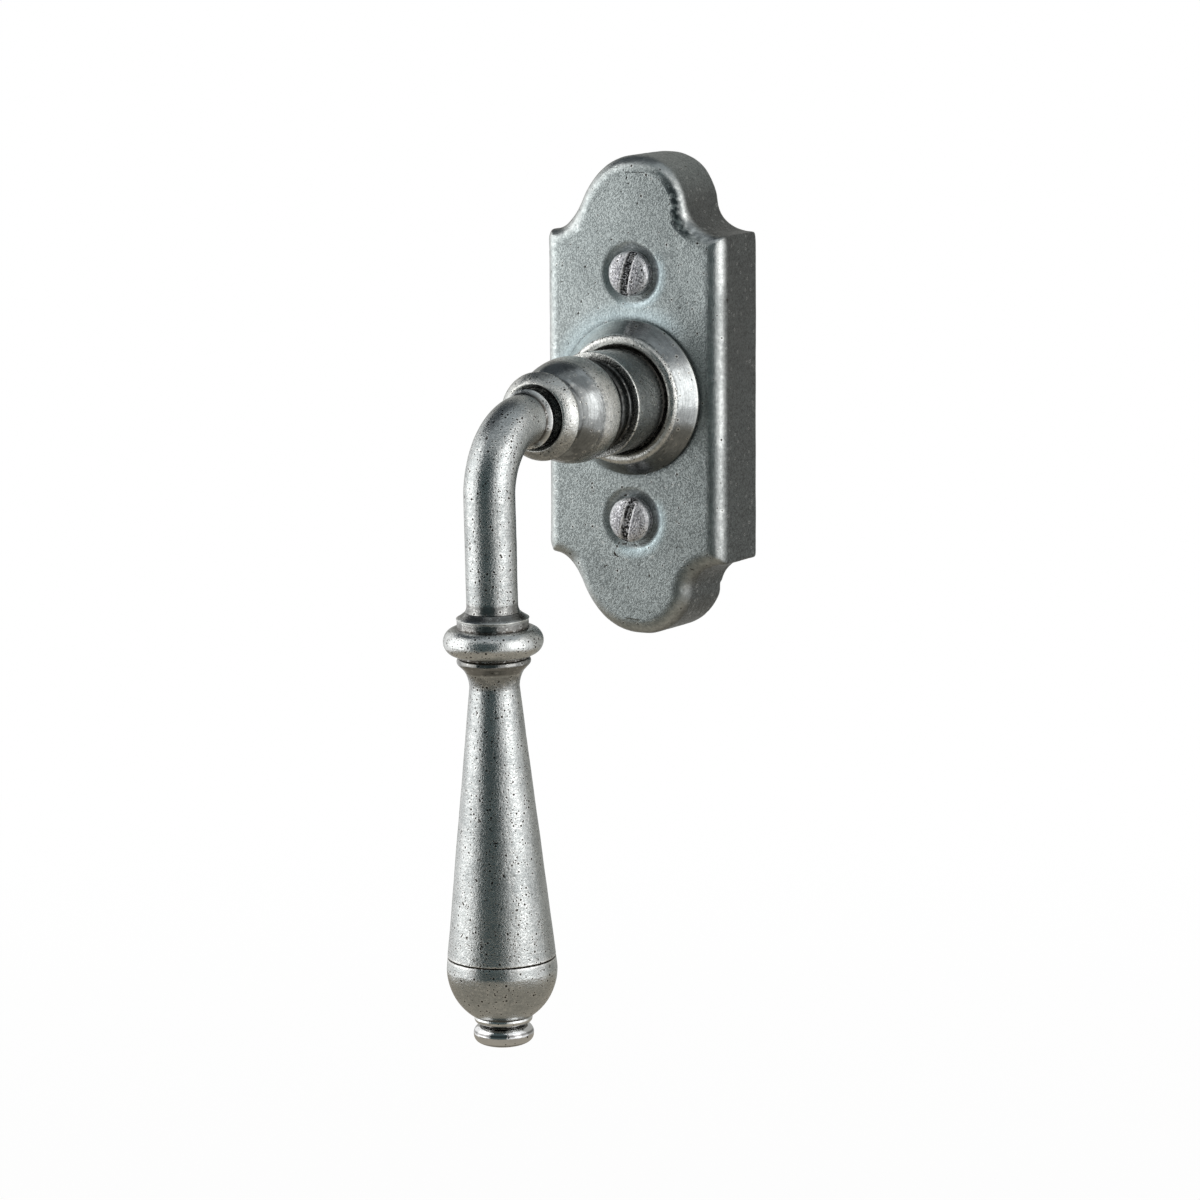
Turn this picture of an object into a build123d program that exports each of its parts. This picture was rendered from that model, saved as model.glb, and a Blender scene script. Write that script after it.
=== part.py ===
from build123d import *
from math import acos, asin, cos, hypot, pi, radians, sin, sqrt, tan
import os

# A forged window handle: a hollow shield-shaped cover plate with a turned
# rosette, and a turned hub, bent neck and pear-shaped grip that swing on it.
# Millimetres. X is to the right, Z is up, and the window's face is the plane
# y = 0. The room lies towards -Y, and the spindle's axis is the line x = 0, z = 0.

# What the window asks for
fixing_pitch = 43.0
lug_diameter = 10.0
lug_length = 9.0
screw_diameter = 5.0
screw_reach = 25.0
thread_length = 15.5
spindle_side = 7.0
spindle_reach = 25.0
spindle_chamfer = 0.4

# Cover plate
plate_width = 35.3
plate_height = 84.0
plate_depth = 13.2
arch_radius = 10.6
shoulder_height = 28.8
shoulder_ledge = 0.8
plate_edge = 2.6
side_wall = 2.4
front_wall = 2.8
dimple_diameter = 11.2
dimple_floor = 8.6
dimple_depth = 0.6
dimple_lip = 0.02

# Rosette, turned and swaged into the plate
rosette_radius = 13.6
rosette_foot = 0.6
rosette_rise = 4.75
lip_radius = 10.4
lip_round = 1.0
rosette_seat = 3.5
rosette_seat_margin = 0.2
rosette_spigot = 9.8

# Bearing bush
bush_wall = 1.2
bush_flange = 8.5
bush_flange_thickness = 0.8

# Hub of the lever, measured forwards from the plate's face
journal_radius = 6.6
journal_end = 5.3
journal_chamfer = 0.4
collar_back_radius = 8.9
collar_front_radius = 9.25
collar_front = 13.8
collar_edge = 0.15
collar_back_chamfer = 0.3
groove_radius = 7.6
groove_length = 2.5
groove_round = 0.5
ring_radius = 8.35
ring_length = 1.4
barrel_radius = 9.2
barrel_rise = 2.8
barrel_neck_radius = 6.4
barrel_taper = 7.5
waist_radius = 6.1
waist_length = 2.3
bead_foot_radius = 6.5
bead_radius = 7.6
bead_rise = 1.2
bead_length = 3.4
bead_swell = 0.23
cup_lip_radius = 5.85
cup_radius = 5.0
cup_depth = 1.1
cup_lip_width = 0.2

# Neck, a round bar bent down and a little back towards the window
neck_radius = 4.35
neck_bend = 11.5
neck_straight = 0.17
neck_lean = 2.1
neck_flange = 5.15
neck_flange_length = 2.9
neck_flare = 0.35
neck_flare_length = 1.2
tenon_radius = 3.4
tenon_length = 12.0

# Ring, grip, cap and finial, measured down from the spindle's axis
ring_top = 31.0
ring_height = 7.7
ring_flange_radius = 6.2
ring_flange_height = 1.3
ring_band_radius = 6.05
torus_widest = 8.45
torus_round = 2.35
torus_drop = 0.45
grip_length = 51.5
grip_flange_radius = 6.25
grip_flange_height = 1.3
grip_flange_round = 0.3
grip_step_radius = 5.1
grip_step = 0.9
grip_waist_radius = 4.25
grip_waist_length = 2.9
grip_end_radius = 9.2
joint_chamfer = 0.15
cap_length = 11.4
cap_radius = 9.4
cap_swell = 2.1
cap_drop = 9.7
cap_ring_radius = 4.95
cap_ring_height = 1.3
cap_ring_round = 0.35
finial_stem_radius = 3.6
finial_stem_length = 0.4
finial_radius = 5.1
finial_height = 3.7
finial_bore_share = 0.7
tie_rod_radius = 2.0
tie_rod_grip = 7.0

# Mechanism behind the plate
carrier_gap = 0.3
carrier_floor = 1.8
carrier_height = 7.3
well_wall = 2.4
well_floor = 2.0
well_shift = 0.4
lid_thickness = 1.0
lid_side_lap = 1.4
lid_end_lap = 2.0
lid_corner = 0.4
cam_flat = 6.2
cam_corner = 7.5
cam_journal_length = 1.0
cam_journal_lap = 0.2
leaf_thickness = 0.5
leaf_width = 3.6
leaf_half_length = 12.4
leaf_seat = 1.9
leaf_room = 0.5
post_radius = 5.2
rivet_radius = 1.0
rivet_head = 1.8
rivet_head_height = 0.5
rivet_side = 3.4
rivet_chamfer = 0.2

# Fasteners and rings on the shaft
head_radius = 3.95
head_side = 1.2
head_dome = 1.5
shank_diameter = 4.5
screw_point = 0.8
slot_width = 1.15
slot_depth = 1.5
slot_turn = 13.5
snap_ring_thickness = 1.0
snap_ring_width = 2.2
snap_groove_depth = 0.6
snap_ring_gap = 30.0
snap_ring_shoulder = 0.6
snap_ring_ear_turn = 9.0
washer_thickness = 0.35
washer_width = 2.6
washer_cone = 0.75
pin_radius = 1.25

# Clearances, and how far a cutter reaches past what it cuts
running_gap = 0.05
fitted_gap = 0.05
thread_gap = 0.01
hole_gap = 0.15
end_gap = 0.1
overshoot = 1.0

# Places that follow from the sizes above
half_width = plate_width / 2
half_height = plate_height / 2
arch_centre = half_height - arch_radius
plate_face = -plate_depth
inner_face = plate_face + front_wall
screw_height = fixing_pitch / 2
screw_hole = screw_diameter / 2 + hole_gap
journal_bore = journal_radius + running_gap
bush_radius = journal_bore + bush_wall
bush_front = rosette_seat + bush_flange_thickness
collar_back = bush_front + end_gap
socket_half = spindle_side / 2 + fitted_gap
groove_end = collar_front + groove_length
barrel_start = groove_end + ring_length
barrel_widest = barrel_start + barrel_rise
barrel_end = barrel_widest + barrel_taper
waist = barrel_end + waist_length
bead_end = waist + bead_length
neck_start = bead_end - cup_depth
neck_flange_end = bead_end + neck_flange_length
neck_turn = pi / 2 + radians(neck_lean)
neck_reach = neck_bend * tan(neck_turn / 2)
neck_stand = neck_flange_end + neck_straight + neck_reach
grip_top = ring_top + ring_height
grip_end = grip_top + grip_length
cap_end = grip_end + cap_length
knob_top = cap_end + finial_stem_length
finial_end = knob_top + finial_height
tie_rod_end = knob_top + finial_height * finial_bore_share
tail_end = grip_top + tie_rod_grip
tenon_bore = tenon_radius + fitted_gap
tie_rod_bore = tie_rod_radius + thread_gap
pin_bore = pin_radius + thread_gap
journal_tail = plate_face + journal_end
snap_groove = journal_radius - snap_groove_depth
snap_front = journal_tail - snap_ring_shoulder - snap_ring_thickness
carrier_face = -carrier_height
lid_back = carrier_face + lid_thickness
cam_front = carrier_face + end_gap
cam_back = -end_gap
cam_bore = cam_flat + hole_gap
leaf_inner = cam_flat + fitted_gap
leaf_outer = leaf_inner + leaf_thickness
leaf_middle = (leaf_inner + leaf_outer) / 2
leaf_lift = cam_corner - cam_flat
pocket_half_width = leaf_outer + leaf_lift + leaf_room
pocket_half_height = leaf_half_length - leaf_seat
lid_half_width = pocket_half_width + lid_side_lap
lid_half_height = leaf_half_length + lid_end_lap
rivet_height = pocket_half_height + (lid_half_height - pocket_half_height) / 2

# Frames for the turned pieces: across is the radius, up is the way along
spindle_axis = Axis((0, 0, 0), (0, 1, 0))
hub_plane = Plane(origin=(0, plate_face, 0), x_dir=(1, 0, 0), z_dir=(0, 0, -1))
wall_plane = Plane(origin=(0, 0, 0), x_dir=(1, 0, 0), z_dir=(0, 0, -1))
lean = radians(neck_lean)
grip_origin = (0, plate_face - neck_stand, 0)
grip_down = (0, sin(lean), -cos(lean))
grip_axis = Axis(grip_origin, grip_down)
grip_plane = Plane(origin=grip_origin, x_dir=(1, 0, 0), z_dir=(0, cos(lean), sin(lean)))


def turned(plane, axis, *edges):
    """A solid turned from a closed outline of radius and way along."""
    return revolve(plane * make_face(Curve() + list(edges)), axis)


def chain(*points):
    """Straight lines from point to point."""
    return [Line(a, b) for a, b in zip(points, points[1:])]


def along_grip(distance):
    """The point on the grip's axis that far below the spindle's axis."""
    return tuple(o + distance * d for o, d in zip(grip_origin, grip_down))


def tube(plane, outer, inner, start, end):
    """A plain ring about a plane's upright axis."""
    axis = Axis(plane.origin, plane.y_dir)
    outline = chain((inner, start), (outer, start), (outer, end), (inner, end), (inner, start))
    return turned(plane, axis, *outline)


def rod(centre_x, centre_z, radius, front, back):
    """A round rod along Y between two distances from the window."""
    disc = Plane(origin=(centre_x, front, centre_z), z_dir=(0, 1, 0)) * Circle(radius)
    return extrude(disc, back - front)


def slab(width, height, front, back):
    """A block about the spindle's axis, between two distances from the window."""
    return Pos(0, (front + back) / 2, 0) * Box(width, back - front, height)


def middle_of(centre, start, end):
    """The point halfway along the short arc between two points about a centre."""
    dx = (start[0] + end[0]) / 2 - centre[0]
    dz = (start[1] + end[1]) / 2 - centre[1]
    reach = hypot(start[0] - centre[0], start[1] - centre[1]) / hypot(dx, dz)
    return (centre[0] + dx * reach, centre[1] + dz * reach)


def shield(inset):
    """The plate's outline, with an arch at each end and a cove down to each shoulder."""
    ledge = half_width - shoulder_ledge
    fall = shoulder_height - arch_centre
    cove = (ledge**2 + fall**2 - arch_radius**2) / (2 * (arch_radius - fall))
    cove_centre = (ledge, shoulder_height + cove)
    share = (arch_radius - inset) / (arch_radius + cove)
    touch = (ledge * share, arch_centre + (cove_centre[1] - arch_centre) * share)
    side = half_width - inset
    foot_x = min(ledge, side)
    foot_z = cove_centre[1] - sqrt((cove + inset) ** 2 - (ledge - foot_x) ** 2)
    foot = (foot_x, foot_z)
    hollow = middle_of(cove_centre, foot, touch)
    corner = [Line((side, 0), (side, foot_z))]
    if side > ledge:
        corner.append(Line((side, foot_z), foot))
    corner.append(ThreePointArc(foot, hollow, touch))
    crown = middle_of((0, arch_centre), touch, (0, half_height - inset))
    corner.append(ThreePointArc(touch, crown, (0, half_height - inset)))
    quarter = Curve() + corner
    half = quarter + mirror(quarter, Plane.YZ)
    return Plane.XZ * make_face(half + mirror(half, Plane.XZ))


def cover_plate():
    """The hollow shield with its rounded edge, dished screw seats and centre hole."""
    body = extrude(shield(0), plate_depth, dir=(0, -1, 0))
    corners = [e for e in body.edges().filter_by(Axis.Y) if abs(e.center().X) > half_width - 0.1]
    front = body.faces().sort_by(Axis.Y)[0].edges()
    body = fillet(list(front) + corners, plate_edge)
    body -= extrude(shield(side_wall), plate_depth - front_wall, dir=(0, -1, 0))
    body -= rod(0, 0, rosette_spigot + fitted_gap, plate_face - overshoot, 0)
    rim = dimple_diameter / 2
    for height in (screw_height, -screw_height):
        plane = Plane(origin=(0, plate_face, height), x_dir=(1, 0, 0), z_dir=(0, 0, -1))
        slope = Spline((dimple_floor / 2, -dimple_depth), (rim, dimple_lip), tangents=((1, 0.1), (1, 0.35)))
        dish = [slope, *chain((rim, dimple_lip), (rim, overshoot), (0, overshoot), (0, -dimple_depth))]
        dish.append(Line((0, -dimple_depth), (dimple_floor / 2, -dimple_depth)))
        body -= turned(plane, Axis(plane.origin, plane.y_dir), *dish)
        body -= rod(0, height, screw_hole, plate_face - overshoot, 0)
    return body


def rosette():
    """The turned collar on the plate, with a conical flank, a round lip and a dished face."""
    seat_edge = bush_flange + rosette_seat_margin
    lip_top = (lip_radius, rosette_rise)
    lip_out = (lip_radius + lip_round, rosette_rise - lip_round * 0.8)
    lip_in = (lip_radius - lip_round, rosette_rise - lip_round * 0.6)
    flank = Line((rosette_radius, rosette_foot), lip_out)
    dish = Spline(lip_in, (seat_edge, rosette_seat), tangents=((-0.9, -1), (-1, 0)))
    outline = chain(
        (seat_edge, rosette_seat),
        (bush_radius, rosette_seat),
        (bush_radius, -front_wall),
        (rosette_spigot, -front_wall),
        (rosette_spigot, 0),
        (rosette_radius, 0),
        (rosette_radius, rosette_foot),
    )
    lip = ThreePointArc(lip_out, lip_top, lip_in)
    return turned(hub_plane, spindle_axis, *outline, flank, lip, dish)


def bearing_bush():
    """The flanged bush that the hub's journal turns in."""
    outline = chain(
        (journal_bore, -front_wall),
        (bush_radius, -front_wall),
        (bush_radius, rosette_seat),
        (bush_flange, rosette_seat),
        (bush_flange, bush_front),
        (journal_bore, bush_front),
        (journal_bore, -front_wall),
    )
    return turned(hub_plane, spindle_axis, *outline)


def hub_front():
    """The hub's outline from the collar's edge forwards: face, groove, ring, barrel, waist and bead."""
    edge = (collar_front_radius, collar_front - collar_edge)
    face = (collar_front_radius - collar_edge, collar_front)
    inner = (groove_radius + groove_round, collar_front)
    foot = (groove_radius, collar_front + groove_round)
    bend = groove_round * (1 - sqrt(0.5))
    corner = ThreePointArc(inner, (groove_radius + bend, collar_front + bend), foot)
    ring_back = (groove_radius, groove_end)
    shoulder = (groove_radius, barrel_start)
    ring = ThreePointArc(ring_back, (ring_radius, groove_end + ring_length / 2), shoulder)
    top = (barrel_radius, barrel_widest)
    back = Spline(shoulder, top, tangents=((1, 1), (0, 1)))
    taper_end = (barrel_neck_radius, barrel_end)
    front = Spline(top, taper_end, tangents=((0, 1), (-1.2, 1)))
    hollow = ThreePointArc(taper_end, (waist_radius, (barrel_end + waist) / 2), (bead_foot_radius, waist))
    crest = (bead_radius, waist + bead_rise)
    rise_mid = (bead_radius - (bead_radius - bead_foot_radius) * 0.3, waist + bead_rise * 0.37)
    rise = ThreePointArc((bead_foot_radius, waist), rise_mid, crest)
    lip = (cup_lip_radius, bead_end)
    fall_x = (bead_radius + cup_lip_radius) / 2 + bead_swell * 0.8
    fall_y = (crest[1] + bead_end) / 2 + bead_swell * 0.6
    fall = ThreePointArc(crest, (fall_x, fall_y), lip)
    return [*chain(edge, face, inner), corner, *chain(foot, ring_back), ring, back, front, hollow, rise, fall]


def lever_hub():
    """The turned hub: journal, collar, groove, barrel, bead and the cup for the neck."""
    edge = (collar_front_radius, collar_front - collar_edge)
    lip = (cup_lip_radius, bead_end)
    tail = -journal_end
    tail_flat = journal_radius - journal_chamfer
    collar_flat = collar_back_radius - collar_back_chamfer
    outline = chain((0, neck_start), (0, tail), (tail_flat, tail))
    outline += chain((tail_flat, tail), (journal_radius, tail + journal_chamfer))
    outline += chain((journal_radius, tail + journal_chamfer), (journal_radius, collar_back))
    outline += chain((journal_radius, collar_back), (collar_flat, collar_back))
    outline += chain((collar_flat, collar_back), (collar_back_radius, collar_back + collar_back_chamfer), edge)
    outline += hub_front()
    outline += chain(lip, (cup_lip_radius - cup_lip_width, bead_end), (cup_radius, neck_start), (0, neck_start))
    hub = turned(hub_plane, spindle_axis, *outline)
    slot_front = snap_front - fitted_gap
    slot_back = snap_front + snap_ring_thickness + fitted_gap
    hub -= tube(wall_plane, journal_radius + overshoot, snap_groove, -slot_back, -slot_front)
    hub -= slab(2 * socket_half, 2 * socket_half, plate_face - collar_front, journal_tail + overshoot)
    neck_end = plate_face - neck_start
    hub -= rod(0, 0, tenon_bore, neck_end - overshoot, neck_end + tenon_length + end_gap)
    hub -= spindle_pin_rod(pin_bore, journal_radius + overshoot)
    return hub


def spindle_pin_rod(radius, half_length):
    """A cross rod through the journal, just behind the plate's face."""
    disc = Plane(origin=(-half_length, plate_face, 0), z_dir=(1, 0, 0)) * Circle(radius)
    return extrude(disc, 2 * half_length)


def neck_bar():
    """The round bar: a short run forwards, the bend, and the run down to the flare."""
    flange_y = plate_face - neck_flange_end
    bend_y = flange_y - neck_straight
    bend_start = (0, bend_y, 0)
    bend_mid = (0, bend_y - neck_bend * sin(neck_turn / 2), -neck_bend * (1 - cos(neck_turn / 2)))
    bend_end = along_grip(neck_reach)
    path = Curve() + [
        Line((0, flange_y, 0), bend_start),
        ThreePointArc(bend_start, bend_mid, bend_end),
        Line(bend_end, along_grip(ring_top - neck_flare_length)),
    ]
    return sweep(Plane(origin=(0, flange_y, 0), z_dir=(0, -1, 0)) * Circle(neck_radius), path)


def neck_root():
    """The flange that sits in the hub's cup, and the tenon behind it."""
    tenon_end = neck_start - tenon_length
    seat_radius = cup_radius - fitted_gap
    crest = neck_flange_end - neck_flange_length / 4
    hollow = (seat_radius - 0.25, (neck_start + crest) / 2)
    crest_fall = (neck_radius + 0.25, (crest + 2 * neck_flange_end) / 3)
    outline = chain(
        (neck_radius, neck_flange_end),
        (0, neck_flange_end),
        (0, tenon_end),
        (tenon_radius, tenon_end),
        (tenon_radius, neck_start),
        (seat_radius, neck_start),
    )
    outline.append(ThreePointArc((seat_radius, neck_start), hollow, (neck_flange, crest)))
    outline.append(ThreePointArc((neck_flange, crest), crest_fall, (neck_radius, neck_flange_end)))
    return turned(hub_plane, spindle_axis, *outline)


def neck_foot():
    """The flare that meets the ring, and the tail that the ring and grip are threaded on."""
    flare_top = ring_top - neck_flare_length
    flare_mid = (neck_radius + neck_flare * 0.3, ring_top - neck_flare_length * 0.4)
    flare_end = (neck_radius + neck_flare, ring_top)
    outline = chain(
        flare_end,
        (tenon_radius, ring_top),
        (tenon_radius, tail_end),
        (0, tail_end),
        (0, flare_top),
        (neck_radius, flare_top),
    )
    outline.append(ThreePointArc((neck_radius, flare_top), flare_mid, flare_end))
    foot = turned(grip_plane, grip_axis, *outline)
    return foot - tube(grip_plane, tie_rod_bore, 0, grip_top, tail_end + overshoot)


def lever_neck():
    """The bent bar, with a flange and tenon in the hub and a threaded tail for the grip."""
    return neck_bar() + neck_root() + neck_foot()


def grip_ring():
    """The ring above the grip: a sharp top flange, a band below it, then a full torus."""
    bore = tenon_bore
    edge = (ring_flange_radius, ring_top + ring_flange_height * 0.8)
    band = (ring_band_radius, ring_top + ring_flange_height)
    torus_mid = (band[1] + grip_top) / 2 + torus_drop
    torus_centre = torus_widest - torus_round
    rise = sqrt(torus_round**2 - (ring_band_radius - torus_centre) ** 2)
    top_in = (ring_band_radius, torus_mid - rise)
    low_in = (ring_band_radius, torus_mid + rise)
    start = (neck_radius + neck_flare, ring_top)
    slope = ThreePointArc(start, ((start[0] + edge[0]) / 2, edge[1] - 0.35 * ring_flange_height), edge)
    outline = [*chain((bore, grip_top), (bore, ring_top), start), slope, *chain(edge, band, top_in)]
    outline.append(ThreePointArc(top_in, (torus_widest, torus_mid), low_in))
    outline += chain(low_in, (ring_band_radius, grip_top), (bore, grip_top))
    return turned(grip_plane, grip_axis, *outline)


def grip():
    """The long pear-shaped grip, with a bead, a step and a cove at its narrow upper end."""
    bead_foot = grip_top + grip_flange_height
    bead_in = grip_flange_radius - grip_flange_round
    bore = tie_rod_radius + fitted_gap
    socket_end = tail_end + end_gap
    step = (grip_step_radius, bead_foot + grip_step)
    grip_waist = step[1] + grip_waist_length
    cove_mid = ((grip_step_radius + 3 * grip_waist_radius) / 4, (step[1] + grip_waist) / 2)
    flank_end = (grip_end_radius, grip_end - joint_chamfer)
    outline = chain((bore, grip_end), (bore, socket_end), (tenon_bore, socket_end), (tenon_bore, grip_top))
    outline.append(Line((tenon_bore, grip_top), (bead_in, grip_top)))
    bead_mid = (grip_flange_radius, (grip_top + bead_foot) / 2)
    outline.append(ThreePointArc((bead_in, grip_top), bead_mid, (bead_in, bead_foot)))
    outline += chain((bead_in, bead_foot), step)
    outline.append(ThreePointArc(step, cove_mid, (grip_waist_radius, grip_waist)))
    outline += chain((grip_waist_radius, grip_waist), flank_end)
    outline += chain(flank_end, (grip_end_radius - joint_chamfer, grip_end), (bore, grip_end))
    return turned(grip_plane, grip_axis, *outline)


def bowl_point(angle):
    """A point on the cap's rounded end, from its widest circle down."""
    return (cap_radius * cos(angle), grip_end + cap_swell + cap_drop * sin(angle))


def grip_cap():
    """The rounded end below the joint line, running into a small ring."""
    ring_start = cap_end - cap_ring_height
    ring_in = cap_ring_radius - cap_ring_round
    bore = tie_rod_radius + fitted_gap
    last = min(acos(ring_in / cap_radius), asin((ring_start - grip_end - cap_swell) / cap_drop))
    start = (grip_end_radius, grip_end + joint_chamfer)
    outline = chain((bore, grip_end), (grip_end_radius - joint_chamfer, grip_end), start, bowl_point(0))
    outline.append(ThreePointArc(bowl_point(0), bowl_point(last * 0.28), bowl_point(last * 0.55)))
    outline.append(ThreePointArc(bowl_point(last * 0.55), bowl_point(last * 0.8), bowl_point(last)))
    outline.append(Line(bowl_point(last), (ring_in, ring_start)))
    ring_mid = (cap_ring_radius, (ring_start + cap_end) / 2)
    outline.append(ThreePointArc((ring_in, ring_start), ring_mid, (ring_in, cap_end)))
    outline += chain((ring_in, cap_end), (bore, cap_end), (bore, grip_end))
    return turned(grip_plane, grip_axis, *outline)


def finial():
    """The small turned end knob, screwed on the tie rod."""
    half = finial_height / 2
    stem_end = (finial_stem_radius, knob_top)
    widest = (finial_radius, knob_top + half)
    above = (finial_radius * 0.93, knob_top + half * 0.3)
    outline = chain(
        (0, finial_end),
        (0, tie_rod_end),
        (tie_rod_bore, tie_rod_end),
        (tie_rod_bore, cap_end),
        (finial_stem_radius, cap_end),
        stem_end,
    )
    outline.append(ThreePointArc(stem_end, above, widest))
    outline.append(Spline(widest, (0, finial_end), tangents=((0, 1), (-1, 0))))
    return turned(grip_plane, grip_axis, *outline)


def tie_rod():
    """The stud that draws the finial, cap, grip and ring up to the neck."""
    return tube(grip_plane, tie_rod_radius, 0, grip_top + end_gap, tie_rod_end - end_gap)


def spindle():
    """The square spindle that reaches into the window's gear."""
    front = plate_face - collar_front + end_gap
    bar = slab(spindle_side, spindle_side, front, spindle_reach)
    bar = chamfer(bar.edges().filter_by(Axis.Y), spindle_chamfer)
    return bar - spindle_pin_rod(pin_bore, spindle_side)


def spindle_pin():
    """The cross pin that holds the spindle in the hub, hidden inside the bush."""
    return spindle_pin_rod(pin_radius, journal_radius - 0.1)


def snap_ring():
    """The open ring in the journal's groove."""
    outer = snap_groove + snap_ring_width
    snap_back = snap_front + snap_ring_thickness
    ring = tube(wall_plane, outer, snap_groove, -snap_front, -snap_back)
    half = tan(radians(snap_ring_gap / 2)) * outer * 1.2
    mouth = [(0, 0), (half, outer * 1.2), (-half, outer * 1.2), (0, 0)]
    wedge = Plane.XZ * make_face(Curve() + chain(*mouth))
    ring -= extrude(wedge, plate_depth, dir=(0, -1, 0))
    for side in (-1, 1):
        angle = pi / 2 + side * radians(snap_ring_gap / 2 + snap_ring_ear_turn)
        ear_reach = snap_groove + snap_ring_width * 0.75
        x, z = ear_reach * cos(angle), ear_reach * sin(angle)
        ring += rod(x, z, snap_ring_width * 0.55, snap_front, snap_back)
        ring -= rod(x, z, snap_ring_width * 0.25, snap_front - overshoot, snap_back + overshoot)
    return ring


def spring_washer():
    """The coned spring washer that takes up the play between plate and snap ring."""
    inner = journal_radius + hole_gap
    outer = inner + washer_width
    back = -snap_front + end_gap
    outline = chain(
        (inner, back),
        (inner, back + washer_thickness),
        (outer, back + washer_cone),
        (outer, back + washer_cone - washer_thickness),
        (inner, back),
    )
    return turned(wall_plane, spindle_axis, *outline)


def index_cam():
    """The square cam on the spindle, with a round journal at each end."""
    front = cam_front + cam_journal_length
    back = -carrier_floor - end_gap
    cam = slab(2 * cam_flat, 2 * cam_flat, front, back) & rod(0, 0, cam_corner, front, back)
    cam += rod(0, 0, cam_flat, cam_front, front + cam_journal_lap)
    cam += rod(0, 0, cam_flat, back - cam_journal_lap, cam_back)
    return cam - slab(2 * socket_half, 2 * socket_half, cam_front - overshoot, overshoot)


def mechanism_carrier():
    """The die-cast carrier in the plate's hollow, with the window's two support lugs."""
    body = extrude(shield(side_wall + carrier_gap), carrier_height, dir=(0, -1, 0))
    for height in (screw_height, -screw_height):
        body += rod(0, height, post_radius, inner_face, carrier_face + overshoot)
        body += rod(0, height, lug_diameter / 2, -overshoot, lug_length)
    pocket = slab(2 * pocket_half_width, 2 * pocket_half_height, carrier_face - overshoot, -carrier_floor)
    lid_seat = slab(2 * lid_half_width, 2 * lid_half_height, carrier_face - overshoot, lid_back)
    body = body - pocket - lid_seat
    leaf_slot = leaf_thickness + 2 * fitted_gap
    slot_height = 2 * (leaf_half_length + end_gap)
    for side in (-1, 1):
        slot = slab(leaf_slot, slot_height, carrier_face, -carrier_floor)
        body -= Pos(side * leaf_middle, 0, 0) * slot
    body -= rod(0, 0, cam_bore, carrier_face, overshoot)
    for height in (screw_height, -screw_height):
        body -= rod(0, height, screw_hole, inner_face - overshoot, lug_length + overshoot)
    well = arch_radius - side_wall - carrier_gap - well_wall
    for height in (arch_centre + well_shift, -arch_centre - well_shift):
        body -= rod(0, height, well, carrier_face + well_floor, overshoot)
    for x, z in rivet_places():
        body -= rod(x, z, rivet_radius, lid_back - overshoot, overshoot)
    return body


def rivet_places():
    """The centres of the four rivets that hold the lid."""
    return [(x * rivet_side, z * rivet_height) for x in (-1, 1) for z in (-1, 1)]


def mechanism_lid():
    """The sheet lid that keeps the cam and the leaf springs in the carrier."""
    lid_width = 2 * (lid_half_width - fitted_gap)
    lid_height = 2 * (lid_half_height - fitted_gap)
    lid = slab(lid_width, lid_height, carrier_face, lid_back)
    lid = fillet(lid.edges().filter_by(Axis.Y), lid_corner)
    lid -= rod(0, 0, cam_bore, carrier_face - overshoot, lid_back + overshoot)
    for x, z in rivet_places():
        lid -= rod(x, z, rivet_radius, carrier_face - overshoot, lid_back + overshoot)
    return lid


def lid_rivets():
    """Four rivets with flat heads on the lid."""
    rivets = []
    for x, z in rivet_places():
        shank = rod(x, z, rivet_radius - thread_gap, carrier_face, -end_gap)
        head = rod(x, z, rivet_head, carrier_face - rivet_head_height, carrier_face)
        rivets.append(shank + chamfer(head.faces().sort_by(Axis.Y)[0].edges(), rivet_chamfer))
    return rivets


def leaf_spring(side):
    """A flat leaf that lies against one flat of the cam, with its ends in slots."""
    back = -carrier_floor - end_gap
    leaf = slab(leaf_thickness, 2 * leaf_half_length, back - leaf_width, back)
    return Pos(side * leaf_middle, 0, 0) * leaf


def fixing_screw(height):
    """A slotted screw with a domed head, standing in its dimple."""
    seat = -dimple_depth
    plane = Plane(origin=(0, plate_face, height), x_dir=(1, 0, 0), z_dir=(0, 0, -1))
    tip = -plate_depth - screw_reach
    thread = screw_diameter / 2
    shank = shank_diameter / 2
    rim = seat + head_side
    outline = chain(
        (0, rim + head_dome),
        (0, tip),
        (thread - screw_point * 0.7, tip),
        (thread, tip + screw_point),
        (thread, tip + thread_length),
        (shank, tip + thread_length),
        (shank, seat),
        (head_radius, seat),
        (head_radius, rim),
    )
    crown = (head_radius**2 + head_dome**2) / (2 * head_dome)
    half = asin(head_radius / crown) / 2
    crown_mid = (crown * sin(half), rim + head_dome - crown * (1 - cos(half)))
    outline.append(ThreePointArc((head_radius, rim), crown_mid, (0, rim + head_dome)))
    screw = turned(plane, Axis(plane.origin, plane.y_dir), *outline)
    slot_floor = plate_face - rim - head_dome + slot_depth
    reach = 4 * head_radius
    slot = Pos(0, slot_floor - reach / 2, height) * Rot(0, slot_turn, 0) * Box(slot_width, reach, reach)
    screw -= slot
    return screw


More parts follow.
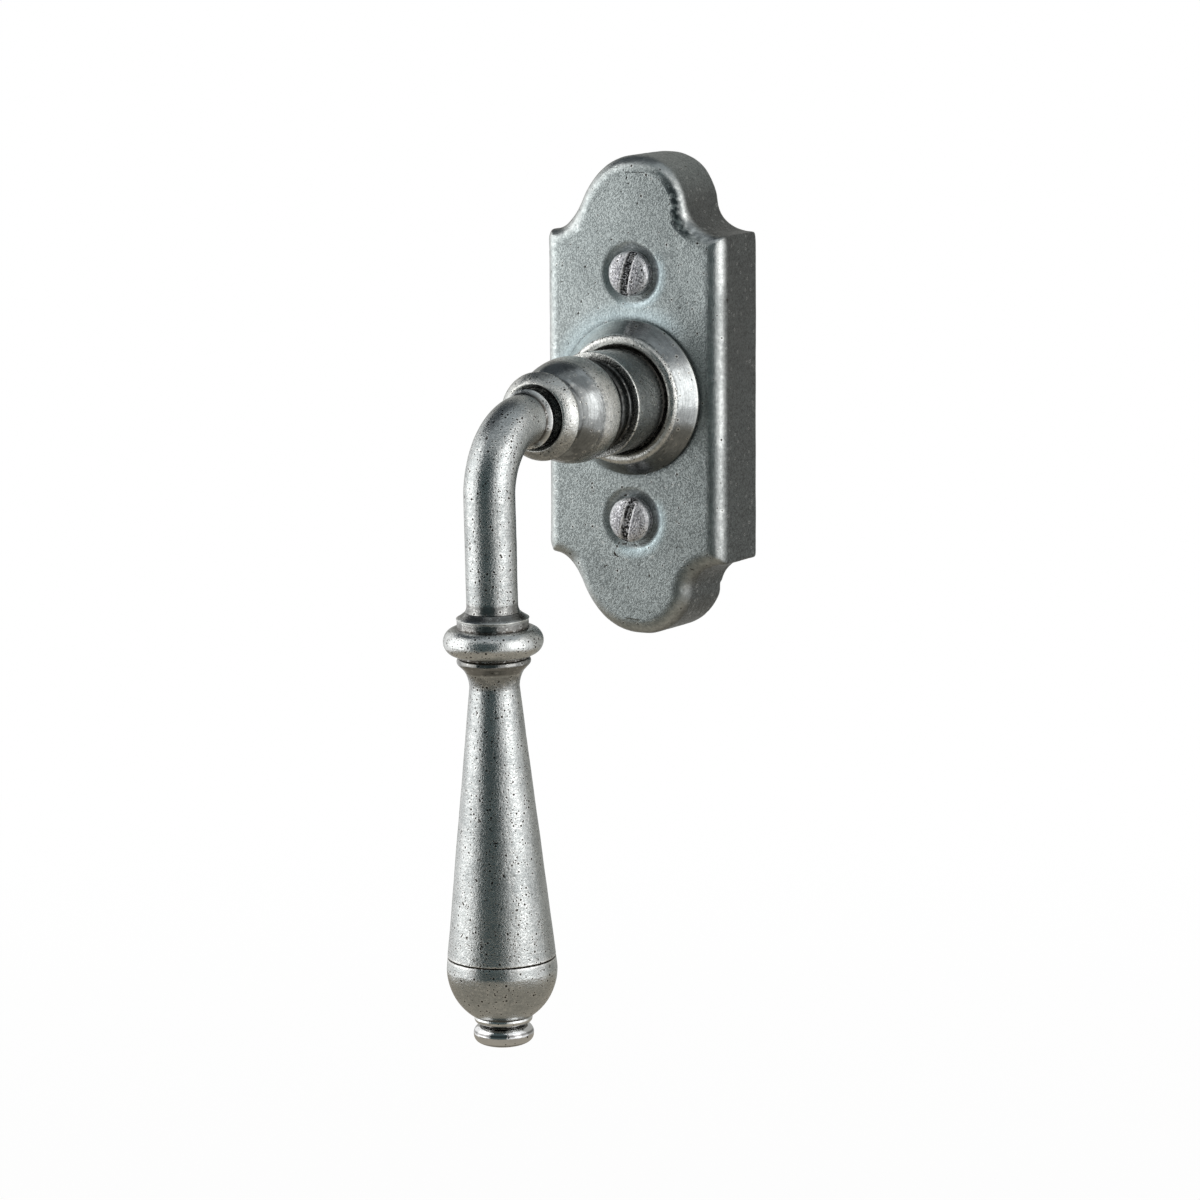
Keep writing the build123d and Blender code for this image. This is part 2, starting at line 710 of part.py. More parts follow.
os.makedirs("parts", exist_ok=True)
pieces = {
    "cover_plate": cover_plate(),
    "rosette": rosette(),
    "bearing_bush": bearing_bush(),
    "mechanism_carrier": mechanism_carrier(),
    "mechanism_lid": mechanism_lid(),
    "lid_rivets": Compound(children=lid_rivets()),
    "leaf_spring_left": leaf_spring(-1),
    "leaf_spring_right": leaf_spring(1),
    "fixing_screw_upper": fixing_screw(screw_height),
    "fixing_screw_lower": fixing_screw(-screw_height),
    "lever_hub": lever_hub(),
    "lever_neck": lever_neck(),
    "grip_ring": grip_ring(),
    "grip": grip(),
    "grip_cap": grip_cap(),
    "finial": finial(),
    "tie_rod": tie_rod(),
    "spindle": spindle(),
    "spindle_pin": spindle_pin(),
    "index_cam": index_cam(),
    "snap_ring": snap_ring(),
    "spring_washer": spring_washer(),
}
for name, piece in pieces.items():
    export_step(piece, f"parts/{name}.step")
    print(name, round(piece.volume, 1))
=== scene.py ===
"""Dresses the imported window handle: forged plate, turned lever, slotted screws and the studio round them."""
import logging
from dataclasses import dataclass
from enum import Enum
from itertools import product
from math import cos, hypot, pi, radians, sin, sqrt, tan

import bpy
import numpy as np
from mathutils import Matrix, Vector


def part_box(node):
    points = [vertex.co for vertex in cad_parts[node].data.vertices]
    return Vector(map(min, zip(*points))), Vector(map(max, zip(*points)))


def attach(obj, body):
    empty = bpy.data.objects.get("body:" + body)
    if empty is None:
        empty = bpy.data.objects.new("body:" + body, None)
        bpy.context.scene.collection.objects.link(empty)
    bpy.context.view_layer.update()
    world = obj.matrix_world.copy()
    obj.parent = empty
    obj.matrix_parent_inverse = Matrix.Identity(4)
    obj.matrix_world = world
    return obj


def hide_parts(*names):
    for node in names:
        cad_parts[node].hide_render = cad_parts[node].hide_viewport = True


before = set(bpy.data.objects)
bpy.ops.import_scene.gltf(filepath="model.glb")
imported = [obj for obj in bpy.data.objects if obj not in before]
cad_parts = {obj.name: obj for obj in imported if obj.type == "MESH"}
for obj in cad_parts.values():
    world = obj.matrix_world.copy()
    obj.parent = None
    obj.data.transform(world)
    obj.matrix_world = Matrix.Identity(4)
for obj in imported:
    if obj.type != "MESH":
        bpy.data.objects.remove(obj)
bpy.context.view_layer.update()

Array = np.ndarray
Pair = tuple[float, float]
Triple = tuple[float, float, float]
Spans = tuple[Triple, ...]
Marks = dict[str, Array]
Inputs = dict[str | int, object]
Socket = bpy.types.NodeSocket

log = logging.getLogger("window_handle")

# One millimetre in metres

MM = 0.001

# Places that several pieces share, in millimetres and degrees

PLATE_FACE = -13.2
GRIP_FRONT = -61.9
GRIP_LEAN = 2.1
SCREW_HEIGHTS = (21.5, -21.5)

# How a profile is drawn, kept and marked with wear, in millimetres, degrees and shares

FINE = 0.02
LARGEST_TURN = 8.0
POLE = 0.03
FADE = 0.3
WEAR_REACH = 0.35
WEAR_FULL = 0.06
CORNER_WEAR = 0.8


# Noise and lines


class Slopes:
    """Smooth noise from about -1 to 1: random slopes on a lattice, faded into each other in each cell."""

    def __init__(self, seed: int) -> None:
        """Draws the table of slopes.

        Args:
            seed: Number that fixes the pattern.
        """
        draw = np.random.default_rng(seed)
        self.order: Array = np.tile(draw.permutation(256), 2)
        arrows = draw.normal(size=(256, 3))
        self.arrows: Array = arrows / np.linalg.norm(arrows, axis=1, keepdims=True)

    def at(self, points: Array, size: float) -> Array:
        """Noise at points, where each of a cell's eight corners adds its slope times the way from it.

        Args:
            points: Places in millimetres, with x, y, z last.
            size: Side of a lattice cell in millimetres.

        Returns:
            One value for each point.
        """
        scaled = points / size
        cell = np.floor(scaled).astype(int)
        inside = scaled - cell
        fade = inside**3 * (inside * (inside * 6 - 15) + 10)
        total = np.zeros(points.shape[:-1])
        for corner in product((0, 1), repeat=3):
            step = (cell + corner) & 255
            pick = self.order[self.order[self.order[step[..., 0]] + step[..., 1]] + step[..., 2]]
            slope = ((inside - corner) * self.arrows[pick]).sum(-1)
            total += slope * np.where(corner, fade, 1 - fade).prod(-1)
        return total * 1.6


def ease(low: float, high: float, values: Array) -> Array:
    """The smooth step 3t^2 - 2t^3, where t runs from 0 at low to 1 at high."""
    t = np.clip((values - low) / (high - low), 0, 1)
    return t * t * (3 - 2 * t)


def shares(length: float, least: int) -> Array:
    """Even shares of a stroke, up to 1 and without 0, one to each FINE of its length."""
    return np.linspace(0, 1, max(least, int(length / FINE)) + 1)[1:]


def circle(centre: Pair, radius: float, turns: Array) -> Array:
    """Points at centre + radius * (cos turn, sin turn), one to a row."""
    return np.array(centre) + radius * np.stack([np.cos(turns), np.sin(turns)], 1)


def sampled(rows: Array, way: Array, count: int) -> Array:
    """Rows at even steps of the way, with every column interpolated between its neighbours."""
    even = np.linspace(0, way[-1], count)
    return np.stack([np.interp(even, way, column) for column in rows.T], 1)


def respaced(points: Array, count: int = 0) -> Array:
    """A line's points again at even ways along it: as many as asked for, or else one to each FINE."""
    way = np.concatenate([[0], np.cumsum(np.linalg.norm(np.diff(points, axis=0), axis=1))])
    return sampled(points, way, count or int(way[-1] / FINE) + 1)


def soften(points: Array, spread: float, closed: bool) -> Array:
    """Each point becomes the bell-weighted mean of its neighbours along the line.

    Args:
        points: Points in order, one to a row.
        spread: Width of the bell, in points.
        closed: Whether the last point meets the first.

    Returns:
        As many points, with corners rounded.
    """
    reach = max(1, int(spread * 3))
    bell = np.exp(-0.5 * (np.arange(-reach, reach + 1) / spread) ** 2)
    bell /= bell.sum()
    head, tail = points[-reach:], points[:reach]
    if not closed:
        head = 2 * points[0] - points[reach:0:-1]
        tail = 2 * points[-1] - points[-2 : -reach - 2 : -1]
    padded = np.concatenate([head, points, tail])
    return np.stack([np.convolve(column, bell, "valid") for column in padded.T], 1)


# Profiles


class Outline:
    """A profile drawn stroke by stroke, as radius and distance along the axis in millimetres."""

    def __init__(self, radius: float, distance: float) -> None:
        """Puts the pen down."""
        self.strokes: list[Array] = [np.array([[radius, distance]], float)]

    def pen(self) -> Array:
        """Where the last stroke ended."""
        return self.strokes[-1][-1]

    def line(self, *points: Pair) -> "Outline":
        """Draws straight strokes from point to point: start + (end - start) * share.

        Args:
            *points: Ends of the strokes.

        Returns:
            This outline.
        """
        for point in points:
            start, end = self.pen(), np.array(point, float)
            share = shares(np.linalg.norm(end - start), 2)[:, None]
            self.strokes.append(start + (end - start) * share)
        return self

    def arc(self, middle: Pair, end: Pair) -> "Outline":
        """Draws the circle through the pen, a middle point and an end, whose centre is as far from all three.

        Args:
            middle: A point on the arc.
            end: Where the arc ends.

        Returns:
            This outline.
        """
        a, b, c = self.pen(), np.array(middle, float), np.array(end, float)
        rows = 2 * np.array([b - a, c - a])
        centre = np.linalg.solve(rows, np.array([b @ b - a @ a, c @ c - a @ a]))
        turns = [np.arctan2(p[1] - centre[1], p[0] - centre[0]) for p in (a, b, c)]
        whole = sum((later - sooner + pi) % (2 * pi) - pi for sooner, later in zip(turns, turns[1:]))
        radius = np.linalg.norm(a - centre)
        sweep = turns[0] + whole * shares(radius * abs(whole), 4)
        self.strokes.append(circle(centre, radius, sweep))
        return self

    def curve(self, leave: Pair, end: Pair, arrive: Pair) -> "Outline":
        """Draws the cubic that leaves the pen along one direction and arrives along another.

        Args:
            leave: Direction at the pen.
            end: Where the curve ends.
            arrive: Direction at the end.

        Returns:
            This outline.
        """
        a, b = self.pen(), np.array(end, float)
        chord = np.linalg.norm(b - a)
        ta, tb = (np.array(v, float) / hypot(*v) * chord for v in (leave, arrive))
        t = shares(chord * 1.2, 4)[:, None]
        start_part = (2 * t**3 - 3 * t**2 + 1) * a + (t**3 - 2 * t**2 + t) * ta
        self.strokes.append(start_part + (3 * t**2 - 2 * t**3) * b + (t**3 - t**2) * tb)
        return self

    def work(self, closed: bool, edge: float, spacing: float) -> Array:
        """Rounds the profile's corners, and keeps more points where it turns.

        The kept points are even steps of way / spacing + turning / LARGEST_TURN. Wear is how far the
        profile stands outside its own softened copy; how far it lies inside marks dirt and painted
        shade in its creases.

        Args:
            closed: Whether it ends where it starts.
            edge: Width of the rounding of a sharp corner, in millimetres.
            spacing: Largest gap between kept points, in millimetres.

        Returns:
            Rows of radius, distance, wear, and dirt with painted shade, where the last two run from 0 to 1.
        """
        drawn = respaced(np.concatenate(self.strokes))
        points = soften(drawn[:-1] if closed else drawn, edge / FINE, closed)
        blurred = soften(points, WEAR_REACH / FINE, closed)
        around = np.concatenate([points[-1:], points, points[:1]]) if closed else points
        tangent = np.gradient(around, axis=0)
        tangent = tangent[1:-1] if closed else tangent
        length = np.linalg.norm(tangent, axis=1)
        tangent = tangent / np.maximum(length, 1e-9)[:, None]
        ahead = np.roll(points, -1, 0)
        area = np.sum(points[:, 0] * ahead[:, 1] - ahead[:, 0] * points[:, 1])
        normal = np.stack([tangent[:, 1], -tangent[:, 0]], 1) * np.sign(area)
        proud = ((points - blurred) * normal).sum(1) / WEAR_FULL
        heading = np.unwrap(np.arctan2(tangent[:, 1], tangent[:, 0]))
        steps = length / spacing + np.abs(np.gradient(heading)) / radians(LARGEST_TURN)
        measure = np.concatenate([[0], np.cumsum((steps[1:] + steps[:-1]) / 2)])
        rows = np.column_stack([points, np.clip(proud, 0, 1), np.clip(-proud, 0, 1)])
        return sampled(rows, measure, int(measure[-1]) + 2)


# Axes


@dataclass
class Swept:
    """Points of a turned surface, with the shares of dirt and painted shade, and of wear and sheen, that the
    shaping gives each, from 0 to 1.
    """

    radius: Array
    distance: Array
    angle: Array
    # Share of dirt and of painted shade at each point
    hollow: Array | float = 0.0
    wear_sheen: Array | float = 0.0


@dataclass(frozen=True)
class Axle:
    """A straight axis of the handle in millimetres. Angles are measured about it from +X."""

    origin: Triple
    along: Triple = (0.0, -1.0, 0.0)

    def place(self, at: Swept) -> Array:
        """Points at origin + along * distance + radius * (cos angle * x + sin angle * (along cross x)).

        Args:
            at: Radius, distance and angle of each point.

        Returns:
            The points, with x, y, z last.
        """
        across = np.array([1.0, 0.0, 0.0])
        third = np.cross(self.along, across)
        ring = np.cos(at.angle)[..., None] * across + np.sin(at.angle)[..., None] * third
        middle = np.array(self.origin) + np.array(self.along) * at.distance[..., None]
        return middle + ring * at.radius[..., None]


@dataclass(frozen=True)
class BentAxle:
    """The neck's axis: forwards from the plate's face, round a bend, then down with a slight lean."""

    bend_start: float = 36.77
    bend_radius: float = 11.5
    turn: float = pi / 2 + radians(GRIP_LEAN)

    def below(self, drop: float) -> float:
        """Distance from the plate's face along this axis of a point some way down the grip's axis."""
        return self.bend_start + self.bend_radius * self.turn + drop - self.bend_radius * tan(self.turn / 2)

    def place(self, at: Swept) -> Array:
        """Points as on a straight axis, with the way along turned by (distance - start) / bend radius.

        Args:
            at: Radius, distance from the plate's face and angle of each point.

        Returns:
            The points, with x, y, z last.
        """
        turn = np.clip((at.distance - self.bend_start) / self.bend_radius, 0, self.turn)
        before = np.minimum(at.distance, self.bend_start)
        after = np.maximum(at.distance - self.bend_start - self.bend_radius * self.turn, 0)
        forward = before + self.bend_radius * np.sin(turn) + after * np.cos(turn)
        down = self.bend_radius * (1 - np.cos(turn)) + after * np.sin(turn)
        lift = at.radius * np.sin(at.angle)
        y = PLATE_FACE - forward - lift * np.sin(turn)
        z = -down + lift * np.cos(turn)
        return np.stack(np.broadcast_arrays(at.radius * np.cos(at.angle), y, z), -1)


HUB_AXLE = Axle((0.0, PLATE_FACE, 0.0))
GRIP_AXLE = Axle((0.0, GRIP_FRONT, 0.0), (0.0, sin(radians(GRIP_LEAN)), -cos(radians(GRIP_LEAN))))
NECK_AXLE = BentAxle()


# Surfaces


@dataclass(frozen=True)
class Skin:
    """How uneven a forged or turned surface is, in millimetres."""

    seed: int
    wave: float
    wave_size: float
    ripple: float = 0.012
    ripple_size: float = 1.6
    pit_depth: float = 0.03
    pit_size: float = 0.5
    pit_share: float = 0.1
    pit_level: float = 0.62
    pit_edge: float = 0.22
    cluster: float = 9.0

    def roughen(self, points: Array, normals: Array, calm: Array) -> tuple[Array, Array]:
        """Moves points along their normals by wave + ripple - pits.

        Pits are where fine noise rises over a level, which coarse noise lowers in clusters.

        Args:
            points: Smooth surface.
            normals: Its outward normals.
            calm: Share of the unevenness that each point gets.

        Returns:
            The uneven surface, and how pitted each point is from 0 to 1.
        """
        noise = Slopes(self.seed)
        rise = self.wave * noise.at(points, self.wave_size) + self.ripple * noise.at(points, self.ripple_size)
        level = self.pit_level - self.pit_share * (0.5 + 0.8 * noise.at(points + 40.0, self.cluster))
        pits = ease(0.0, self.pit_edge, noise.at(points + 90.0, self.pit_size) - level) * calm
        return points + normals * ((rise - self.wave) * calm - self.pit_depth * pits)[..., None], pits


PLATE_SKIN = Skin(seed=31, wave=0.06, wave_size=9.0, ripple=0.014, ripple_size=1.2, pit_size=0.7)
LEVER_SKIN = Skin(seed=11, wave=0.04, wave_size=6.0, pit_share=0.16)
HUB_SKIN = Skin(seed=17, wave=0.03, wave_size=6.0)
SMOOTH_SKIN = Skin(seed=23, wave=0.015, wave_size=4.0, ripple=0.005, pit_depth=0.02, pit_size=0.8)
SCREW_SKIN = Skin(
    seed=29, wave=0.015, wave_size=2.5, ripple=0.01, ripple_size=0.6, pit_size=0.4, pit_share=0.3,
)


def outward(points: Array, wrap: bool) -> Array:
    """Unit normals of a grid of rings: the cross product of its two directions, turned away from the inside.

    Args:
        points: Rings by points around by x, y, z, where the last point of a ring meets the first.
        wrap: Whether the last ring meets the first.

    Returns:
        One outward normal for each point.
    """
    around = np.roll(points, -1, 1) - np.roll(points, 1, 1)
    onward = np.roll(points, -1, 0) - np.roll(points, 1, 0) if wrap else np.gradient(points, axis=0)
    normals = np.cross(around, onward)
    side = np.sign((normals * (points - points.reshape(-1, 3).mean(0))).sum())
    return normals * side / np.maximum(np.linalg.norm(normals, axis=-1, keepdims=True), 1e-12)


def signed_volume(points: Array, faces: Array) -> float:
    """A sixth of the sum of the triple products of each quad's two halves."""
    a, b, c, d = (points[faces[:, k]] for k in range(4))
    return float((a * (np.cross(b, c) + np.cross(c, d))).sum() / 6)


def ring_faces(count: int, around: int, wrap: bool) -> Array:
    """Quads between neighbouring rings of points.

    Args:
        count: Number of rings.
        around: Points on each ring.
        wrap: Whether the last ring meets the first.

    Returns:
        Four vertex numbers to a row.
    """
    ring = np.arange(count if wrap else count - 1)[:, None]
    step = np.arange(around)[None, :]
    after, beside = (ring + 1) % count, (step + 1) % around
    corners = [ring * around + step, ring * around + beside, after * around + beside, after * around + step]
    return np.stack(np.broadcast_arrays(*corners), -1).reshape(-1, 4)


def put(name: str, data: bpy.types.ID) -> bpy.types.Object:
    """Makes an object at the origin.

    Args:
        name: Name of the object.
        data: Its mesh, lamp or camera.

    Returns:
        The object, linked to the scene.
    """
    made = bpy.data.objects.new(name, data)
    bpy.context.scene.collection.objects.link(made)
    return made


def put_mesh(name: str, points: Array | list[Triple], faces: list) -> bpy.types.Object:
    """Makes a mesh and its object at the origin.

    Args:
        name: Name of both.
        points: Vertices in metres.
        faces: Vertex numbers of each face.

    Returns:
        The object, linked to the scene.
    """
    mesh = bpy.data.meshes.new(name)
    mesh.from_pydata(points, [], faces)
    return put(name, mesh)


def put_sheet(name: str, width: float, height: float, z: float = 0.0) -> bpy.types.Object:
    """Makes a flat rectangle about the Z axis, from its half width and half height in metres."""
    corners = [(-width, -height, z), (width, -height, z), (width, height, z), (-width, height, z)]
    return put_mesh(name, corners, [(0, 1, 2, 3)])


def make_piece(name: str, points: Array, quads: Array, triangles: Array, marks: Marks) -> bpy.types.Object:
    """Makes a smooth-shaded object with its faces outwards, inside its CAD node's box.

    Args:
        name: Name of the CAD node that the piece stands for.
        points: Vertices in millimetres, one to a row.
        quads: Four vertex numbers to a row.
        triangles: Three vertex numbers to a row.
        marks: Named values from 0 to 1, one for each vertex, which the finishes read.

    Returns:
        The new object.
    """
    low, high = (np.array(corner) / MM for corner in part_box(name))
    points = np.clip(points, low, high)
    if signed_volume(points, quads) < 0:
        quads, triangles = quads[:, ::-1], triangles[:, ::-1]
    made = put_mesh(name + "_dressed", points * MM, quads.tolist() + triangles.tolist())
    mesh = made.data
    mesh.polygons.foreach_set("use_smooth", np.ones(len(mesh.polygons), bool))
    for mark, values in marks.items():
        layer = mesh.attributes.new(mark, "FLOAT", "POINT")
        layer.data.foreach_set("value", np.ascontiguousarray(values, np.float32).ravel())
    mesh.update()
    return made


def make_rings(name: str, rings: Array, wrap: bool, marks: Marks) -> bpy.types.Object:
    """Makes a closed solid from rings: a loop of rings if they wrap, or else with a pole at each end.

    Args:
        name: Name of the CAD node that the piece stands for.
        rings: Rings by points around by x, y, z, in millimetres.
        wrap: Whether the last ring meets the first.
        marks: Values for each point of each ring.

    Returns:
        The new object.
    """
    count, around = rings.shape[:2]
    points = rings.reshape(-1, 3)
    flat = {mark: values.reshape(-1) for mark, values in marks.items()}
    triangles = np.zeros((0, 3), int)
    if not wrap:
        step = np.arange(around)
        beside, end, pole = (step + 1) % around, (count - 1) * around, np.full(around, len(points))
        first, last = [beside, step, pole], [end + step, end + beside, pole + 1]
        triangles = np.concatenate([np.stack(corners, 1) for corners in (first, last)])
        points = np.concatenate([points, rings[:1].mean(1), rings[-1:].mean(1)])
        flat = {mark: np.concatenate([values, values[:1], values[-1:]]) for mark, values in flat.items()}
    return make_piece(name, points, ring_faces(count, around, wrap), triangles, flat)


# Shader graphs


class Graph:
    """Adds nodes to one material, world or node group and links them."""

    def __init__(self, tree: bpy.types.NodeTree, seed: float = 0.0) -> None:
        """Starts on an empty tree. The seed shifts every noise, so that no two finishes share a pattern."""
        self.tree = tree
        self.seed = seed

    @classmethod
    def inside(cls, holder: bpy.types.Material | bpy.types.World, seed: float = 0.0) -> "Graph":
        """Empties the nodes of a material or of the world.

        Args:
            holder: The material or world.
            seed: Shifts every noise.

        Returns:
            A graph on its tree.
        """
        holder.use_nodes = True
        holder.node_tree.nodes.clear()
        return cls(holder.node_tree, seed)

    def node(self, kind: str, values: Inputs, **settings: object) -> bpy.types.Node:
        """Adds a node, and links or sets its inputs.

        Args:
            kind: The node's type name.
            values: Sockets to link or numbers to set, by input name or number.
            **settings: Other properties of the node.

        Returns:
            The new node.
        """
        made = self.tree.nodes.new(kind)
        for name, setting in settings.items():
            setattr(made, name, setting)
        for key, value in values.items():
            if isinstance(value, bpy.types.NodeSocket):
                self.tree.links.new(value, made.inputs[key])
            else:
                made.inputs[key].default_value = value
        return made

    def out(self, kind: str, values: Inputs, output: str | int = 0, **settings: object) -> Socket:
        """Adds a node and gives one of its outputs."""
        return self.node(kind, values, **settings).outputs[output]

    def math(self, operation: str, a: Socket | float, b: Socket | float) -> Socket:
        """One sum, product or comparison of two numbers, kept between 0 and 1."""
        return self.out("ShaderNodeMath", {0: a, 1: b}, operation=operation, use_clamp=True)

    def times(self, a: Socket | float, b: Socket | float) -> Socket:
        """The product of two numbers, kept between 0 and 1."""
        return self.math("MULTIPLY", a, b)

    def plus(self, a: Socket | float, b: Socket | float) -> Socket:
        """The sum of two numbers, kept between 0 and 1."""
        return self.math("ADD", a, b)

    def most(self, a: Socket, b: Socket) -> Socket:
        """The larger of two numbers, kept between 0 and 1."""
        return self.math("MAXIMUM", a, b)

    def blend(self, share: Socket | float, a: Socket | tuple, b: Socket | tuple) -> Socket:
        """Colour a where the share is 0 and colour b where it is 1."""
        return self.out("ShaderNodeMix", {0: share, 6: a, 7: b}, 2, data_type="RGBA")

    def spread(self, value: Socket, low: float, high: float, start: float = 0.0, end: float = 1.0) -> Socket:
        """Stretches the values between low and high over start to end, with soft ends."""
        values = {"Value": value, 1: low, 2: high, 3: start, 4: end}
        return self.out("ShaderNodeMapRange", values, interpolation_type="SMOOTHSTEP")

    def mark(self, name: str) -> Socket:
        """A value that the mesh carries, or 0 where it carries none."""
        return self.out("ShaderNodeAttribute", {}, "Fac", attribute_name=name)

    def place(self) -> Socket:
        """The object's own coordinates."""
        return self.out("ShaderNodeTexCoord", {}, "Object")

    def noise(self, size: float, detail: float, rough: float = 0.55, stretch: Triple = (1, 1, 1)) -> Socket:
        """Cloudy noise over the object's own coordinates.

        Args:
            size: Size of a patch in millimetres.
            detail: How many finer layers are added.
            rough: How strong each finer layer is.
            stretch: How many times longer a patch is along x, y and z.

        Returns:
            A socket around 0.5.
        """
        place = self.place()
        if stretch != (1, 1, 1):
            scale = tuple(1 / part for part in stretch)
            place = self.out("ShaderNodeVectorMath", {0: place, 1: scale}, operation="MULTIPLY")
        values = {"Vector": place, "W": self.seed, "Scale": 1 / (size * MM)}
        values |= {"Detail": detail, "Roughness": rough}
        return self.out("ShaderNodeTexNoise", values, noise_dimensions="4D")

    def cells(self, gap: float) -> tuple[Socket, Socket]:
        """Points scattered through space.

        Args:
            gap: Usual way from one point to the next, in millimetres.

        Returns:
            The way to the nearest point, as a share of the gap, and that point's own number from 0 to 1.
        """
        made = self.node("ShaderNodeTexVoronoi", {"Vector": self.place(), "Scale": 1 / (gap * MM)})
        return made.outputs["Distance"], self.out("ShaderNodeSeparateColor", {0: made.outputs["Color"]})

    def use(self, group: bpy.types.NodeTree, **values: Socket | float) -> dict[str, Socket]:
        """Adds a shared effect with its inputs by name, and gives its outputs by name."""
        made = self.node("ShaderNodeGroup", values, node_tree=group)
        return {socket.name: socket for socket in made.outputs}

    def bump(self, height: Socket, reach: float, strength: float) -> Socket:
        """The surface's direction where a height from 0 to 1 stands for a rise up to the reach in metres."""
        return self.out("ShaderNodeBump", {"Strength": strength, "Distance": reach, "Height": height})

    def seen(self) -> Socket:
        """1 for rays that come from the camera, by gloss or through glass, and 0 for all others."""
        rays = self.node("ShaderNodeLightPath", {}).outputs
        return self.most(self.most(rays["Is Camera Ray"], rays["Is Glossy Ray"]), rays["Is Transmission Ray"])


class Effects:
    """The effects that all finishes share, each built once as a node group."""

    SEED = 3.7

    def __init__(self) -> None:
        """Builds the groups."""
        self.pits = self.build_pits()
        self.wear = self.build_wear()
        self.sand = self.build_sand()

    def group(self, name: str, inputs: list[str], outputs: list[str]) -> tuple[Graph, list[Socket]]:
        """Starts a group with its interface.

        Args:
            name: Name of the effect.
            inputs: Names of the inputs.
            outputs: Names of the outputs.

        Returns:
            The graph inside it, and its inputs.
        """
        tree = bpy.data.node_groups.new(name, "ShaderNodeTree")
        for way, keys in (("INPUT", inputs), ("OUTPUT", outputs)):
            for key in keys:
                tree.interface.new_socket(key, in_out=way, socket_type="NodeSocketFloat")
        graph = Graph(tree, self.SEED)
        return graph, list(graph.node("NodeGroupInput", {}).outputs)[: len(inputs)]

    def build_pits(self) -> bpy.types.NodeTree:
        """Small round pits: spheres round scattered points, which coarse noise and the share keep or drop.

        Returns:
            The group, with the pits' floors and their bright rims.
        """
        graph, (share, marked) = self.group("Pits", ["Share", "Marked"], ["Mask", "Rim"])
        level = graph.times(share, graph.spread(graph.noise(5.0, 2.0), 0.36, 0.64, 0.35, 1.0))
        masks, rims = [], []
        for gap, radius in ((1.0, 0.26), (0.55, 0.17)):
            away, chance = graph.cells(gap)
            kept = graph.math("LESS_THAN", chance, level)
            masks.append(graph.times(kept, graph.spread(away, radius / gap, radius * 0.55 / gap)))
            rims.append(graph.times(kept, graph.spread(away, radius * 1.9 / gap, radius / gap)))
        mask = graph.most(graph.most(*masks), marked)
        graph.node("NodeGroupOutput", {"Mask": mask, "Rim": graph.math("SUBTRACT", graph.most(*rims), mask)})
        return graph.tree

    def build_wear(self) -> bpy.types.NodeTree:
        """Edges with wear and painted highlights, and dirt with painted shade: the mesh's own marks, broken up
        a little by fine noise.

        Returns:
            The group.
        """
        graph, _ = self.group("Wear", [], ["Edge", "Dirt_shade"])
        frayed = graph.spread(graph.noise(0.7, 4.0, 0.7), 0.32, 0.66, 0.4, 1.0)
        patchy = graph.spread(graph.noise(0.8, 3.0, 0.6), 0.3, 0.7, 0.85, 1.0)
        edge, hollow = graph.times(graph.mark("wear_and_sheen"), frayed), graph.times(graph.mark("dirt_and_shade"), patchy)
        graph.node("NodeGroupOutput", {"Edge": edge, "Dirt_shade": hollow})
        return graph.tree

    def build_sand(self) -> bpy.types.NodeTree:
        """The sandy mottling of a blasted and waxed surface, fine grains over softer clouds.

        Returns:
            The group.
        """
        graph, _ = self.group("Sand", [], ["Grain", "Cloud"])
        grain = graph.spread(graph.noise(0.3, 2.0, 0.7), 0.38, 0.62)
        cloud = graph.spread(graph.noise(6.0, 4.0, 0.6), 0.32, 0.68)
        graph.node("NodeGroupOutput", {"Grain": grain, "Cloud": cloud})
        return graph.tree


# Finishes


class Brushing(Enum):
    """Which way the fine lines of a turned or drawn surface run, as how far they stretch along x, y and z."""

    NONE = (1, 1, 1)
    ROUND_GRIP = (14, 14, 1)
    ROUND_HUB = (14, 1, 14)
    ALONG_SPINDLE = (1, 16, 1)
    ALONG_LEAF = (1, 1, 16)


def tint(colour: Triple, factor: float = 1.0) -> tuple[float, float, float, float]:
    """A colour with its fourth value, lighter or darker by a factor."""
    return (*(min(1.0, part * factor) for part in colour), 1.0)


@dataclass(frozen=True, kw_only=True)
class Finish:
    """A finish: its material's name, and the seed that shifts its noises."""

    name: str
    seed: float

    def paint(self, graph: Graph, effects: Effects) -> Inputs:
        """What the surface shader gets, worked out by each kind of finish."""
        raise NotImplementedError

    def build(self, effects: Effects) -> bpy.types.Material:
        """Makes the material.

        Args:
            effects: The shared node groups.

        Returns:
            The material.
        """
        material = bpy.data.materials.new(self.name)
        graph = Graph.inside(material, self.seed)
        shader = graph.out("ShaderNodeBsdfPrincipled", self.paint(graph, effects))
        graph.node("ShaderNodeOutputMaterial", {"Surface": shader})
        return material


